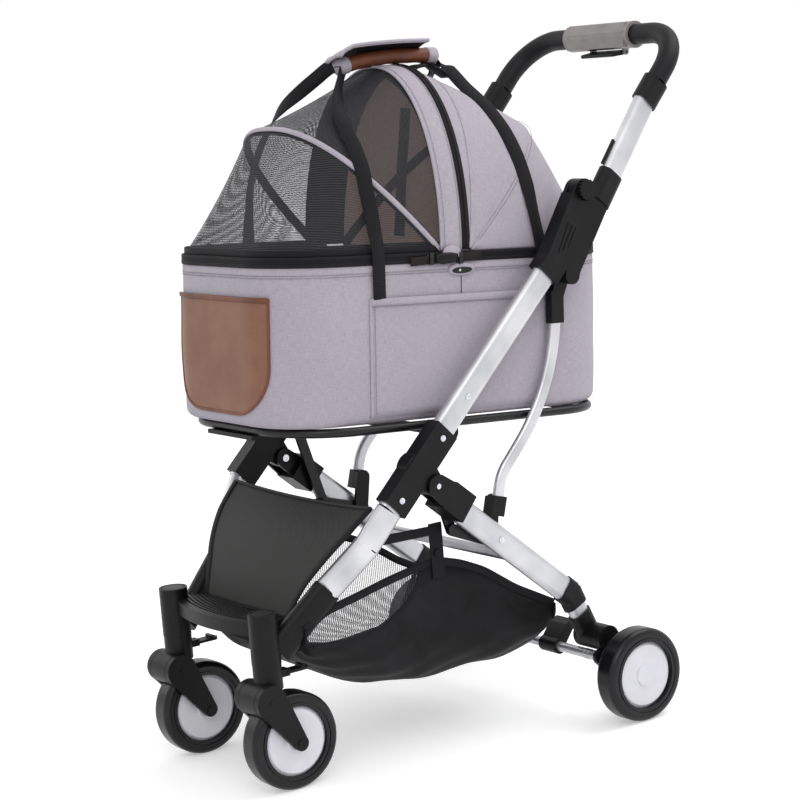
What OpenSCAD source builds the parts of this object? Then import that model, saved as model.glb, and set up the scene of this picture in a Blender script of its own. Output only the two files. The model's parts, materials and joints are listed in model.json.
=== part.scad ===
/* [Overall] */
// Height of the handlebar's centre line above the ground
bar_z = 1007; // [960:1:1040]
// Distance from the carrier's side to the middle of each front frame tube
side_room = 34; // [30:1:44]
/* [Wheels] */
// Diameter over the tyres
wheel_d = 140; // [120:1:150]
// Width of a tyre
tyre_w = 38; // [30:1:40]
// Radius of the visible wheel disc
disc_r = 53; // [48:1:56]
// Axle diameter
axle_d = 8; // [6:0.5:10]
// Distance from each front frame tube inward to the middle of its front wheel
caster_inset = 76; // [68:1:82]
// Distance from each front frame tube outward to the middle of its rear wheel
rear_reach = 67; // [62:1:75]
/* [Tubes] */
// Depth of the flat oval tubes, across their length
tube_h = 38; // [34:1:40]
// Thickness of the flat oval tubes
tube_w = 20; // [16:1:20]
// Wall of every tube
tube_wall = 1.5; // [1:0.1:2.5]
// Diameter of the padded handlebar
grip_d = 32; // [28:1:36]
// Diameter of the tube that carries the carrier
ring_d = 13; // [10:1:15]
/* [Carrier] */
// Width of the carrier
carrier_w = 332; // [300:1:334]
// Length of the carrier
carrier_l = 618; // [590:1:625]
// Height of the carrier's fabric sides
carrier_h = 224; // [200:1:235]
// Height of the canopy above the carrier's sides
canopy_h = 262; // [240:1:275]
// Thickness of the padded sides
side_t = 8; // [5:0.5:12]
// Backward tilt of the carrier, in degrees
seat_tilt = 4.5; // [3:0.5:5]
/* [Hidden] */
$fn = 48;
frame_half = carrier_w / 2 + side_room;
caster_half = frame_half - caster_inset;
rear_half = frame_half + rear_reach;
eps = 0.01;
gap = 0.3;
run_gap = 0.05;
fit = 0.15;
wheel_r = wheel_d / 2;
black = [0.13, 0.13, 0.14];
silver = [0.78, 0.79, 0.8];
cloth = [0.7, 0.66, 0.7];
leather = [0.55, 0.4, 0.32];

// side profile of the frame, [y, z] of each pivot and bend
block_low = [-207, 382];
housing_low = [106, 684];
frame_dir = (housing_low - block_low) / norm(housing_low - block_low);
frame_len = norm(housing_low - block_low);
hinge_a = [174, 789];
lever_b = [144, 667];
leg_d = [-133, 403];
rear_knee = [116, 190];
leg_dir = (rear_knee - leg_d) / norm(rear_knee - leg_d);
strut_c = leg_d + 160 * leg_dir;
link_f = [-118, 452];
knee_e = [-81, 324];
collar_low = [325, 909];
collar_top = [349, 935];
tube_foot = [214, 774];
rear_hub = [147, 122];
rear_axle = [170, wheel_r];
axle_bar = [131, 97];
cross_bar = [20, 266];
caster_y = -384;
front_axle = [-357, wheel_r];
knuckle = [-399, 138];
bar_slope = 48;

// planes across the frame
main_x = frame_half;
main_in = main_x - 12.5;
main_out = main_x + 13.5;
leg_w = 18;
leg_x = frame_half - 15;
leg_in = leg_x - leg_w / 2;
leg_out = leg_x + leg_w / 2;
strut_w = 11;
strut_h = 19;
strut_x = frame_half - 20;
handle_x = frame_half - 2;
collar_x = frame_half - 13;
lever_in = frame_half - 4;
lever_out = frame_half + 9;
boss_in = strut_x + strut_w / 2 + 1.9;
sleeve_t = 2.4;
rivet_d = 9;
rivet_h = 1.6;
pin_d = 8;

// ---------- helpers ----------
module both_sides() {
  children();
  mirror([1, 0, 0]) children();
}
module oval(w, h) {
  square([w, h - w], center = true);
  for (s = [-1, 1]) translate([0, s * (h - w) / 2]) circle(d = w);
}
function at_x(x, yz) = [x, yz[0], yz[1]];
function along(a, b, t) = a + (b - a) * t;
function turn(v, a) = [v[0] * cos(a) - v[1] * sin(a), v[0] * sin(a) + v[1] * cos(a)];
function frame_at(s) = block_low + s * frame_dir;
function leg_at(s) = leg_d + s * leg_dir;
// a solid oval bar from p0 to p1, its depth in the upright plane
module bar_run(p0, p1, w, h, over = 0) {
  d = p1 - p0;
  len = norm(d);
  translate(p0) rotate([asin(d[2] / len), 0, atan2(-d[0], d[1])])
    translate([0, -over, 0]) rotate([-90, 0, 0]) linear_extrude(len + 2 * over) oval(w, h);
}
module tube_run(p0, p1, w, h) {
  difference() {
    bar_run(p0, p1, w, h);
    bar_run(p0, p1, w - 2 * tube_wall, h - 2 * tube_wall, 1);
  }
}
// a moulded sleeve round an oval tube
module sleeve(p0, p1, w, h) {
  difference() {
    bar_run(p0, p1, w + 2 * sleeve_t, h + 2 * sleeve_t);
    bar_run(p0, p1, w + 2 * fit, h + 2 * fit, 1);
  }
}
module xcyl(x0, x1, yz, d) {
  translate([x0, yz[0], yz[1]]) rotate([0, 90, 0]) cylinder(d = d, h = x1 - x0);
}
// draws a [y, z] outline as a plate from x0 to x1
module plate(x0, x1) {
  translate([x0, 0, 0]) rotate([90, 0, 90]) linear_extrude(x1 - x0) children();
}
// a bar with round ends in the [y, z] plane
module link_2d(a, b, w0, w1) {
  n = turn((b - a) / norm(b - a), 90) / 2;
  translate(a) circle(d = w0);
  translate(b) circle(d = w1);
  polygon([a - n * w0, b - n * w1, b + n * w1, a + n * w0]);
}
module slab_2d(a, b, w) {
  n = turn((b - a) / norm(b - a), 90) * w / 2;
  polygon([a - n, b - n, b + n, a + n]);
}
// an oval tube bent about an axis across the stroller
module bend(x, c, r, a0, a1, w, h) {
  translate([x, c[0], c[1]]) rotate([90, 0, 90]) rotate([0, 0, a0])
    rotate_extrude(angle = a1 - a0) translate([r, 0]) rotate(90) oval(w, h);
}
module rivet(x, yz) {
  xcyl(x, x + rivet_h, yz, rivet_d);
}

// ---------- front frame ----------
block_len = 140;
tube_in = 34;
main_start = block_len - tube_in;
foot_a = at_x(main_x, frame_at(tube_in));
foot_b = at_x(main_x, frame_at(-4));
foot_c = [186, -242, 334];
foot_d = [138, -303, 259];
socket_in = 24;
foot_dir = (foot_d - foot_c) / norm(foot_d - foot_c);
module main_tubes() color(silver) both_sides() tube_run(
  at_x(main_x, frame_at(main_start)), at_x(main_x, frame_at(frame_len + 12)), tube_w, tube_h);
module front_runs(w, h, over) {
  bar_run(foot_a, foot_b, w, h, over);
  bar_run(foot_b, foot_c, w, h, 1.5);
  bar_run(foot_c, foot_d, w, h, 1.5);
}
module front_tubes() color(silver) both_sides() difference() {
  front_runs(tube_w, tube_h, 0);
  front_runs(tube_w - 2 * tube_wall, tube_h - 2 * tube_wall, 1);
  bar_run(foot_c, foot_d, tube_w - 2 * tube_wall, tube_h - 2 * tube_wall, 3);
}
module leg_blocks() color(black) both_sides() difference() {
  union() {
    plate(main_in, main_out) slab_2d(frame_at(0), frame_at(block_len), tube_h + 4);
    plate(main_in, main_out - 1) link_2d(frame_at(68), leg_d, 50, 30);
  }
  bar_run(at_x(main_x, frame_at(main_start - fit)), at_x(main_x, frame_at(block_len + 1)),
    tube_w + 2 * fit, tube_h + 2 * fit);
  bar_run(at_x(main_x, frame_at(-1)), at_x(main_x, frame_at(tube_in + fit)),
    tube_w + 2 * fit, tube_h + 2 * fit);
  xcyl(main_in - 1, main_out + 1, leg_d, pin_d + 2 * run_gap);
}
cheek_d = 34;
module hinge_housings() color(black) both_sides() difference() {
  union() {
    plate(main_in, main_out) slab_2d(frame_at(frame_len - 16), frame_at(frame_len + 18), tube_h + 4);
    plate(main_in, lever_in - 0.5) link_2d(frame_at(frame_len + 14), hinge_a, tube_h, cheek_d);
    plate(lever_out + 0.5, main_out) link_2d(frame_at(frame_len + 14), hinge_a, tube_h, cheek_d);
    plate(main_in, main_out) slab_2d(frame_at(frame_len + 10) + turn(frame_dir, 90) * 18.5,
      hinge_a + [-20.8, -2.5], 5);
  }
  bar_run(at_x(main_x, frame_at(frame_len - 17)), at_x(main_x, frame_at(frame_len + 12 + fit)),
    tube_w + 2 * fit, tube_h + 2 * fit);
  xcyl(main_in - 1, main_out + 1, hinge_a, pin_d + 2 * run_gap);
  for (i = [0:2]) plate(main_out - 1, main_out + 1)
    link_2d(hinge_a + [-36 + 7 * i, -44 - 4 * i], hinge_a + [-58 + 9 * i, -84 + 2 * i], 2, 2);
}
module frame_rivets() color(silver) both_sides() {
  rivet(main_out + eps, frame_at(block_len - 15));
  rivet(main_out + eps, frame_at(16));
  rivet(main_x + tube_w / 2 + eps, frame_at(block_len + 58));
  xcyl(main_in - 24, main_in - eps, link_f, pin_d);
  xcyl(main_in - 26, main_in - 24, link_f, pin_d + 4);
}

// ---------- carrier tray ----------
tray_z = 481;
tray_y = -40;
corner_r = 95;
module tilted() {
  translate([0, 0, tray_z]) rotate([-seat_tilt, 0, 0]) children();
}
module plan(grow) {
  w = carrier_w / 2 + grow;
  l = carrier_l / 2 + grow;
  r = corner_r + grow;
  translate([0, tray_y]) {
    square([2 * w, 2 * (l - r)], center = true);
    square([2 * (w - r), 2 * l], center = true);
    for (sx = [-1, 1]) for (sy = [-1, 1]) translate([sx * (w - r), sy * (l - r)]) circle(r = r);
  }
}
ring_x = 164;
ring_l = 286;
ring_r = 100;
module tray_ring() color(black) tilted() translate([0, tray_y, -ring_d / 2 - gap]) {
  for (sx = [-1, 1]) for (sy = [-1, 1]) translate([sx * (ring_x - ring_r), sy * (ring_l - ring_r), 0])
    rotate([0, 0, sx > 0 ? (sy > 0 ? 0 : -90) : (sy > 0 ? 90 : 180)])
      rotate_extrude(angle = 90) translate([ring_r, 0]) circle(d = ring_d);
  for (sx = [-1, 1]) translate([sx * ring_x, -(ring_l - ring_r), 0]) rotate([-90, 0, 0])
    cylinder(d = ring_d, h = 2 * (ring_l - ring_r));
  for (sy = [-1, 1]) translate([-(ring_x - ring_r), sy * ring_l, 0]) rotate([0, 90, 0])
    cylinder(d = ring_d, h = 2 * (ring_x - ring_r));
}
bar_front = -100;
bar_rear = -70;
module tray_crossbars() color(black) {
  tilted() translate([0, 0, -ring_d - 2 * gap]) {
    translate([-ring_x, bar_front, -8]) cube([2 * ring_x, bar_rear - bar_front, 8]);
    translate([-60, tray_y - ring_l - 10, -6]) cube([120, 24, 6]);
    translate([-60, tray_y + ring_l - 14, -6]) cube([120, 24, 6]);
    both_sides() translate([ring_x - 0.5, bar_front, -8])
      cube([main_in - gap - ring_x + 0.5, bar_rear - bar_front, 8]);
  }
  both_sides() plate(main_x - tube_w / 2 - 4, main_x - tube_w / 2 - 0.1) difference() {
    link_2d([-85, 470], frame_at(block_len + 30), 28, 16);
    slab_2d(frame_at(0), frame_at(block_len + gap), tube_h + 4 + 2 * gap);
    link_2d(frame_at(68), leg_d, 50 + 2 * gap, 30 + 2 * gap);
  }
}

// ---------- footrest ----------
socket_d = 42;
socket_top = 258;
socket_low = 186;
plate_z = 222;
plate_t = 20;
plate_front_r = 352;
plate_width = 60;
plate_rear_r = plate_front_r - plate_width;
plate_mid = caster_y + 330;
plate_rear = -340;
module footplate() color(black) difference() {
  translate([0, 0, plate_z]) intersection() {
    translate([0, plate_mid, 0]) difference() {
      cylinder(r = plate_front_r, h = plate_t, $fn = 96);
      translate([0, 0, -1]) cylinder(r = plate_rear_r, h = plate_t + 2, $fn = 96);
      for (i = [0:7]) translate([0, 0, plate_t - 1.5]) difference() {
        cylinder(r = plate_front_r - 12 - 6 * i, h = 3);
        translate([0, 0, -1]) cylinder(r = plate_front_r - 15 - 6 * i, h = 5);
      }
    }
    translate([-caster_half, plate_rear - 160, -1]) cube([2 * caster_half, 160, plate_t + 2]);
  }
  both_sides() translate([caster_half, caster_y, plate_z - 1])
    cylinder(d = socket_d + 2 * fit, h = plate_t + 2);
  both_sides() socket_sleeve(2 * fit);
}
module socket_sleeve(grow) {
  bar_run([caster_half + 4, caster_y + 16, 200], foot_d + foot_dir * -socket_in,
    tube_w + 2 * sleeve_t + grow, tube_h + 2 * sleeve_t + grow);
}
module caster_sockets() color(black) both_sides() difference() {
  union() {
    translate([caster_half, caster_y, socket_low]) cylinder(d = socket_d, h = socket_top - socket_low);
    socket_sleeve(0);
  }
  bar_run(foot_d + foot_dir * fit, foot_d - foot_dir * (socket_in + 2),
    tube_w + 2 * fit, tube_h + 2 * fit);
  bar_run(foot_c, foot_d, tube_w + 2 * fit, tube_h + 2 * fit, 1.5 + fit);
  translate([caster_half, caster_y, socket_low - 1]) cylinder(d = 22 + 2 * run_gap, h = 50);
  translate([caster_half, caster_y, socket_top - 1.2]) difference() {
    cylinder(d = socket_d - 6, h = 3);
    translate([0, 0, -1]) cylinder(d = socket_d - 10, h = 5);
  }
}
panel_t = 4;
panel_low = [plate_rear + gap + panel_t / 2, 236];
panel_top = [-226, 384];
module footrest_panel() color([0.23, 0.24, 0.23]) hull() {
  xcyl(-100, 100, panel_low, panel_t);
  xcyl(-166, 166, panel_top, panel_t);
}

// ---------- storage basket ----------
basket_half = 152;
basket_t = 3;
basket_pts = [[-336, 222], [-326, 196], [-190, 92], [60, 84], [96, 100], [112, 176], [-100, 285]];
basket_in = [[-332, 226], [-322, 199], [-189, 95], [59, 87], [93, 102], [109, 190], [-100, 300]];
module storage_basket() color([0.12, 0.12, 0.13]) difference() {
  plate(-basket_half, basket_half) polygon(basket_pts);
  plate(-basket_half + basket_t, basket_half - basket_t) polygon(basket_in);
  both_sides() socket_sleeve(2 * gap);
}
strap_y = -100;
hang_x = basket_half + gap;
hang_t = 3;
module basket_straps() color(black) both_sides() {
  bar_run([leg_in - 2.5, -236, 334], [hang_x + hang_t / 2, strap_y - 6, 326], hang_t, 14);
  plate(hang_x, hang_x + hang_t)
    polygon([[strap_y - 11, 255], [strap_y + 11, 255], [strap_y + 11, 336], [strap_y - 11, 336]]);
  xcyl(hang_x + hang_t, hang_x + 2 * hang_t, [strap_y, 292], 12);
}

// ---------- handle ----------
handle_low = at_x(handle_x, tube_foot);
handle_high = at_x(collar_x, collar_low);
function handle_at(t) = along(handle_low, handle_high, t);
bar_bend = 75;
bar_arm = (bar_z - collar_top[1]) / sin(bar_slope) - bar_bend;
module handle_tubes() color(silver) both_sides() tube_run(handle_at(0), handle_at(1), tube_w, tube_h);
lever_heel = tube_foot + [4, 6];
module handle_levers() color(black) both_sides() difference() {
  union() {
    plate(lever_in, lever_out) link_2d(hinge_a, lever_b, cheek_d, 26);
    plate(lever_in + 0.6, lever_out - 0.6) polygon([hinge_a + [6, 14], lever_b + [9, -6],
      lever_heel + [14, -4], lever_heel + [4, 14]]);
    xcyl(boss_in, lever_in + 2, lever_b, 23);
    bar_run(handle_at(-0.05), handle_at(0.24), tube_w + 2 * sleeve_t, tube_h + 2 * sleeve_t);
  }
  bar_run(handle_at(-fit / 175), handle_at(0.25), tube_w + 2 * fit, tube_h + 2 * fit);
  xcyl(lever_in - 1, lever_out + 1, hinge_a, pin_d + 2 * run_gap);
  plate(main_in - 20, lever_in - gap) translate(hinge_a) circle(d = cheek_d + 2);
  plate(lever_out + gap, main_out + 20) translate(hinge_a) circle(d = cheek_d + 2);
}
knob_d = 30;
module pivot_knobs() color(black) both_sides() {
  xcyl(main_in - 2, main_out + gap, hinge_a, pin_d);
  xcyl(main_out + gap, main_out + gap + 8, hinge_a, knob_d - 2);
  for (i = [0:15]) xcyl(main_out + gap, main_out + gap + 8,
    hinge_a + (knob_d / 2 - 1) * [cos(i * 22.5), sin(i * 22.5)], 3.4);
}
module in_bar_plane() {
  translate([0, collar_top[0], collar_top[1]]) rotate([bar_slope, 0, 0]) children();
}
module bar_path(d) {
  in_bar_plane() {
    both_sides() {
      translate([collar_x, 0, 0]) rotate([-90, 0, 0]) cylinder(d = d, h = bar_arm);
      translate([collar_x - bar_bend, bar_arm, 0]) rotate_extrude(angle = 90)
        translate([bar_bend, 0]) circle(d = d);
    }
    translate([-(collar_x - bar_bend), bar_arm + bar_bend, 0]) rotate([0, 90, 0])
      cylinder(d = d, h = 2 * (collar_x - bar_bend));
  }
}
module handlebar() color(black) bar_path(grip_d);
module handle_collars() color(black) both_sides() difference() {
  bar_run(handle_at(0.97), at_x(collar_x, collar_top), tube_w + 2 * sleeve_t + 4, tube_h + 2 * sleeve_t);
  bar_run(handle_at(0.9), handle_at(1 + fit / 175), tube_w + 2 * fit, tube_h + 2 * fit);
  in_bar_plane() translate([collar_x, -2, 0]) rotate([-90, 0, 0]) cylinder(d = grip_d + 2 * fit, h = 20);
}
console_half = 76;
trigger_half = 36;
trigger_y = 10;
trigger_z = -26;
module at_bar() {
  in_bar_plane() translate([0, bar_arm + bar_bend, 0]) rotate([-bar_slope, 0, 0]) children();
}
module console() color([0.45, 0.45, 0.47]) at_bar() difference() {
  union() {
    rotate([0, 90, 0]) translate([0, 0, -console_half]) cylinder(d = grip_d + 10, h = 2 * console_half);
    plate(-console_half + 8, console_half - 8)
      polygon([[-20, -18], [16, -18], [21, 4], [14, 20], [-12, 20], [-21, 6]]);
    both_sides() plate(trigger_half + 0.4, trigger_half + 5)
      link_2d([trigger_y, -12], [trigger_y, trigger_z], 14, 9);
  }
  rotate([0, 90, 0]) translate([0, 0, -console_half - 1])
    cylinder(d = grip_d + 2 * fit, h = 2 * console_half + 2);
  xcyl(-console_half, console_half, [trigger_y, trigger_z], 4 + 2 * run_gap);
}
module release_trigger() color(black) at_bar() {
  xcyl(-trigger_half - 4.5, trigger_half + 4.5, [trigger_y, trigger_z], 4);
  plate(-trigger_half, trigger_half) {
    link_2d([trigger_y, trigger_z], [trigger_y - 26, trigger_z - 3], 8, 6);
  }
}
latch_len = 46;
module latch_slides() color(black) both_sides() {
  n = turn([handle_high[1] - handle_low[1], handle_high[2] - handle_low[2]], 90)
    / norm(handle_high - handle_low);
  o = [0, n[0], n[1]] * (tube_h / 2 + gap + 2.5);
  bar_run(handle_at(0.26) + o, handle_at(0.26 + latch_len / 190) + o, 4.9, 5);
}

// ---------- rear legs ----------
collar_len = 16;
stub_dir = (rear_hub - rear_knee) / norm(rear_hub - rear_knee);
leg_len = norm(rear_knee - leg_d);
bracket_start = 24;
bracket_end = 66;
bracket_h = tube_h + 5;
cheek_out = main_out + gap;
module rear_tubes() color(silver) both_sides() difference() {
  tube_run(at_x(leg_x, leg_at(bracket_start + 6)), at_x(leg_x, leg_at(leg_len - 3)), leg_w, tube_h);
  xcyl(leg_in - 1, leg_out + 1, strut_c, pin_d + 2 * run_gap);
}
module rear_brackets() color(black) both_sides() difference() {
  union() {
    plate(cheek_out, cheek_out + 5) link_2d(leg_d, leg_at(40), 34, bracket_h);
    plate(main_in - gap - 5, main_in - gap) link_2d(leg_d, leg_at(40), 30, 34);
    plate(leg_in - sleeve_t, cheek_out + 5) slab_2d(leg_at(bracket_start), leg_at(bracket_end), bracket_h);
  }
  bar_run(at_x(leg_x, leg_at(bracket_start + 6 - fit)), at_x(leg_x, leg_at(bracket_end + 1)),
    leg_w + 2 * fit, tube_h + 2 * fit);
  plate(main_in - gap, cheek_out) translate(leg_d) circle(r = 27);
  plate(main_in - gap, cheek_out) link_2d(leg_d + 60 * turn(frame_dir, 180),
    leg_d + 60 * frame_dir, 20, 20);
  xcyl(main_in - 30, main_out + 30, leg_d, pin_d + 2 * run_gap);
}
module rear_cross_tube() color(silver) difference() {
  xcyl(-leg_in + 0.1, leg_in - 0.1, cross_bar, 16);
  xcyl(-leg_in - 1, leg_in + 1, cross_bar, 16 - 2 * tube_wall);
}
module rear_stubs() color(silver) both_sides() tube_run(
  at_x(leg_x, rear_knee + stub_dir * 4), at_x(leg_x, rear_hub - stub_dir * 22), leg_w - 1, tube_h - 5);
module leg_collars() color(black) both_sides() difference() {
  union() {
    bar_run(at_x(leg_x, leg_at(leg_len - 18)), at_x(leg_x, rear_knee), leg_w + 2 * sleeve_t, tube_h + 4);
    bar_run(at_x(leg_x, rear_knee), at_x(leg_x, rear_knee + stub_dir * 18),
      leg_w + 2 * sleeve_t, tube_h + 3, 2);
  }
  bar_run(at_x(leg_x, leg_at(leg_len - 22)), at_x(leg_x, leg_at(leg_len - 3 + fit)),
    leg_w + 2 * fit, tube_h + 2 * fit);
  bar_run(at_x(leg_x, rear_knee + stub_dir * (4 - fit)), at_x(leg_x, rear_knee + stub_dir * 24),
    leg_w - 1 + 2 * fit, tube_h - 5 + 2 * fit);
}
hub_in = leg_in - 4;
hub_out = leg_out + 30;
hub_d = 40;
module hub_housings() color(black) both_sides() difference() {
  union() {
    bar_run(at_x(leg_x, rear_hub - stub_dir * 40), at_x(leg_x, rear_hub), leg_w + 5, tube_h + 1);
    xcyl(hub_in, hub_out, rear_hub, hub_d);
  }
  bar_run(at_x(leg_x, rear_hub - stub_dir * 44), at_x(leg_x, rear_hub - stub_dir * (22 - fit)),
    leg_w - 1 + 2 * fit, tube_h - 5 + 2 * fit);
  xcyl(hub_in - 1, hub_out + 1, rear_hub, pin_d + 2 * run_gap);
}
module rear_rivets() color(silver) both_sides() {
  xcyl(main_in - gap - 7, cheek_out + 4.5, leg_d, pin_d);
  xcyl(main_in - gap - 6.8, main_in - gap - 5.1, leg_d, rivet_d + 2);
  xcyl(leg_in - 12, leg_out + 1, strut_c, pin_d);
  xcyl(leg_out + eps, leg_out + rivet_h, strut_c, rivet_d + 1);
  rivet(leg_out + eps, leg_at(bracket_end + 12));
}

// ---------- rear axle, wheels and brake ----------
arm_in = hub_out + 0.5;
arm_t = 7;
arm_out = arm_in + arm_t;
drum_r = 34;
drum_out = rear_half - tyre_w / 2 - 3;
boss_out = rear_half - tyre_w / 2 + 2;
ring_step = 8;
module axle_tube() color(silver) difference() {
  union() {
    xcyl(-arm_in + 0.1, arm_in - 0.1, axle_bar, 15);
    both_sides() for (k = [0, 1]) xcyl(arm_in - 22 - ring_step * k, arm_in - 19 - ring_step * k, axle_bar, 16);
  }
  xcyl(-arm_in - 1, arm_in + 1, axle_bar, 15 - 2 * tube_wall);
}
module suspension_arm() color(black) {
  plate(arm_in, arm_out) {
    link_2d(rear_hub, rear_axle, hub_d, 44);
    link_2d(axle_bar, rear_axle, 24, 44);
  }
  xcyl(arm_out - 1, drum_out, rear_axle, 2 * drum_r);
  xcyl(drum_out - 1, boss_out, rear_axle, 24);
  xcyl(boss_out - 1, rear_half + 8, rear_axle, axle_d);
  xcyl(hub_in + 2, arm_in + 1, rear_hub, pin_d);
  xcyl(arm_out - 1, arm_out + 2, rear_hub, 14);
}
module suspension_arm_right() suspension_arm();
module suspension_arm_left() mirror([1, 0, 0]) suspension_arm();
pedal_x = 96;
pedal_w = 38;
module brake_pedal() color(black) difference() {
  plate(pedal_x, pedal_x + pedal_w) {
    translate(axle_bar) circle(d = 24);
    polygon([axle_bar + [-2, 11.9], axle_bar + [12, 2], axle_bar + [34, 30],
      axle_bar + [28, 37], axle_bar + [14, 32]]);
  }
  xcyl(pedal_x - 1, pedal_x + pedal_w + 1, axle_bar, 15 + 2 * gap);
}
module wheel_section(w, r_out, r_in) {
  difference() {
    translate([r_in, -w / 2]) square([r_out - r_in, w]);
    for (s = [-1, 1]) translate([r_out, s * w / 2]) difference() {
      square(2 * 9, center = true);
      translate([-9, -s * 9]) circle(r = 9);
    }
  }
}
rim_r = disc_r - 3;
module tyre(x, yz, w) {
  color(black) translate([x, yz[0], yz[1]]) rotate([0, 90, 0]) difference() {
    rotate_extrude($fn = 96) wheel_section(w, wheel_r, rim_r);
    for (s = [-1, 1]) translate([0, 0, s * (w / 2 + 1)]) difference() {
      cylinder(r = disc_r + 3.4, h = 5, center = true);
      cylinder(r = disc_r + 1.8, h = 6, center = true);
    }
  }
}
module wheel_disc(x, yz, w, hub_w) {
  color([0.86, 0.87, 0.9]) translate([x, yz[0], yz[1]]) rotate([0, 90, 0]) difference() {
    rotate_extrude($fn = 96) difference() {
      translate([0, -hub_w / 2]) polygon([[axle_d / 2 + run_gap, 0], [14, 0], [16, 2], [disc_r - 8, 2],
        [rim_r - fit, 6], [rim_r - fit, hub_w - 6], [disc_r - 8, hub_w - 2], [16, hub_w - 2],
        [14, hub_w], [axle_d / 2 + run_gap, hub_w]]);
    }
  }
}
module rear_tyre_right() tyre(rear_half, rear_axle, tyre_w);
module rear_tyre_left() mirror([1, 0, 0]) tyre(rear_half, rear_axle, tyre_w);
module rear_wheel_disc() {
  wheel_disc(rear_half, rear_axle, tyre_w, tyre_w - 5);
  color([0.86, 0.87, 0.9]) xcyl(rear_half + 8.4, rear_half + tyre_w / 2 - 2.5, rear_axle, 32);
}
module rear_disc_right() rear_wheel_disc();
module rear_disc_left() mirror([1, 0, 0]) rear_wheel_disc();

// ---------- struts and folding braces ----------
bend_r = 303;
bend_c = [-173, 641];
bend_a0 = -44.1;
bend_a1 = -2;
straight = 36;
low_r = 70;
low_a1 = 164.9;
function on_arc(c, r, a) = c + r * [cos(a), sin(a)];
function arc_dir(a) = [-sin(a), cos(a)];
strut_turn = on_arc(bend_c, bend_r, bend_a0);
low_start = strut_turn - straight * arc_dir(bend_a0);
low_c = low_start + low_r * [cos(bend_a0), sin(bend_a0)];
low_end = on_arc(low_c, low_r, low_a1);
strut_foot = low_end + straight * arc_dir(low_a1);
// the straight runs are a hair slimmer and reach into the bends
step = 0.2;
module strut_shape(w, h) {
  bend(strut_x, bend_c, bend_r, bend_a0, bend_a1, w, h);
  bar_run(at_x(strut_x, strut_turn), at_x(strut_x, low_start), w - step, h - step, 3);
  bend(strut_x, low_c, low_r, bend_a0 + 180, low_a1, w, h);
  bar_run(at_x(strut_x, low_end - 3 * arc_dir(low_a1)), at_x(strut_x, strut_foot), w - step, h - step);
}
module strut_tubes() color(silver) both_sides() strut_shape(strut_w, strut_h);
foot_in = leg_in - 12;
foot_out = leg_in - 7;
module strut_fittings() color(black) both_sides() difference() {
  union() {
    plate(strut_x - strut_w / 2 - 1.4, strut_x + strut_w / 2 + 1.4) {
      slab_2d([131, 645], [128, 598], strut_h + 4);
      slab_2d(strut_foot + [6, 22], strut_foot + [-2, -6], strut_h + 4);
    }
    plate(strut_x - strut_w / 2, strut_x + strut_w / 2 + 1.4) link_2d([132, 640], lever_b, 22, 24);
    plate(foot_in, foot_out) link_2d(strut_foot + [4, 12], strut_c, 24, 24);
    plate(foot_in, strut_x) slab_2d(strut_foot + [5, 20], strut_foot + [-2, -6], 22);
  }
  strut_shape(strut_w + 2 * fit, strut_h + 2 * fit);
  xcyl(foot_in - 1, foot_out + 1, strut_c, pin_d + 2 * run_gap);
}
module brace_links() color(black) both_sides() difference() {
  plate(foot_in, foot_out) link_2d(link_f, knee_e, 16, 16);
  xcyl(foot_in - 1, foot_out + 1, link_f, pin_d + 2 * run_gap);
}
module brace_plates() color(black) both_sides() difference() {
  plate(foot_out + 0.4, leg_in - 2) link_2d(knee_e, strut_c, 18, 26);
  xcyl(foot_out - 1, leg_in, strut_c, pin_d + 2 * run_gap);
}

// ---------- casters ----------
stem_d = 22;
barrel_d = 48;
barrel_half = 33;
arm_inner = tyre_w / 2 + 2.5;
swing_max = 4;
module swivel_stem() color(black) difference() {
  union() {
    translate([caster_half, caster_y, 150]) cylinder(d = socket_d - 1, h = socket_low - gap - 150);
    translate([caster_half, caster_y, 180]) cylinder(d = stem_d, h = 52);
    xcyl(caster_half - arm_inner + 1, caster_half + arm_inner - 1, knuckle, barrel_d);
    translate([caster_half - 8, caster_y, 163]) cube([16, 32, 10]);
  }
  xcyl(caster_half - 40, caster_half + 40, knuckle, pin_d + 2 * run_gap);
  for (a = [0, swing_max]) xcyl(caster_half - 40, caster_half + 40,
    knuckle + turn(front_axle - knuckle, a), wheel_d + 5);
  translate([caster_half - 20, caster_y + 26, 165.6]) cube([40, 8, 4.8]);
}
module swivel_stem_right() swivel_stem();
module swivel_stem_left() mirror([1, 0, 0]) swivel_stem();
module swing_fork() color(black) difference() {
  union() {
    for (s = [-1, 1]) translate([caster_half + s * (arm_inner + 5), 0, 0]) plate(-5, 5)
      link_2d(knuckle, front_axle, barrel_d, 22);
    xcyl(caster_half - arm_inner, caster_half + arm_inner, knuckle, pin_d);
    xcyl(caster_half - arm_inner, caster_half + arm_inner, front_axle, axle_d);
    for (s = [-1, 1]) translate([caster_half + s * (arm_inner + 10), 0, 0]) {
      xcyl(-1.2, 1.2, front_axle, 12);
      xcyl(-1, 1, knuckle, 8);
    }
  }
}
module swing_fork_right() swing_fork();
module swing_fork_left() mirror([1, 0, 0]) swing_fork();
module front_tyre_right() tyre(caster_half, front_axle, tyre_w);
module front_tyre_left() mirror([1, 0, 0]) tyre(caster_half, front_axle, tyre_w);
module front_disc_right() wheel_disc(caster_half, front_axle, tyre_w, tyre_w);
module front_disc_left() mirror([1, 0, 0]) wheel_disc(caster_half, front_axle, tyre_w, tyre_w);
lock_y = caster_y + 29.5;
module swivel_lock() color(black) translate([caster_half, 0, 0]) difference() {
  union() {
    translate([-9, lock_y - 3, 166]) cube([18, 30, 4]);
    translate([0, lock_y + 27, 166]) cylinder(d = 18, h = 4);
    translate([-9, lock_y + 22, 170]) cube([18, 5, 4]);
  }
}
module swivel_lock_right() swivel_lock();
module swivel_lock_left() mirror([1, 0, 0]) swivel_lock();

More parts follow.
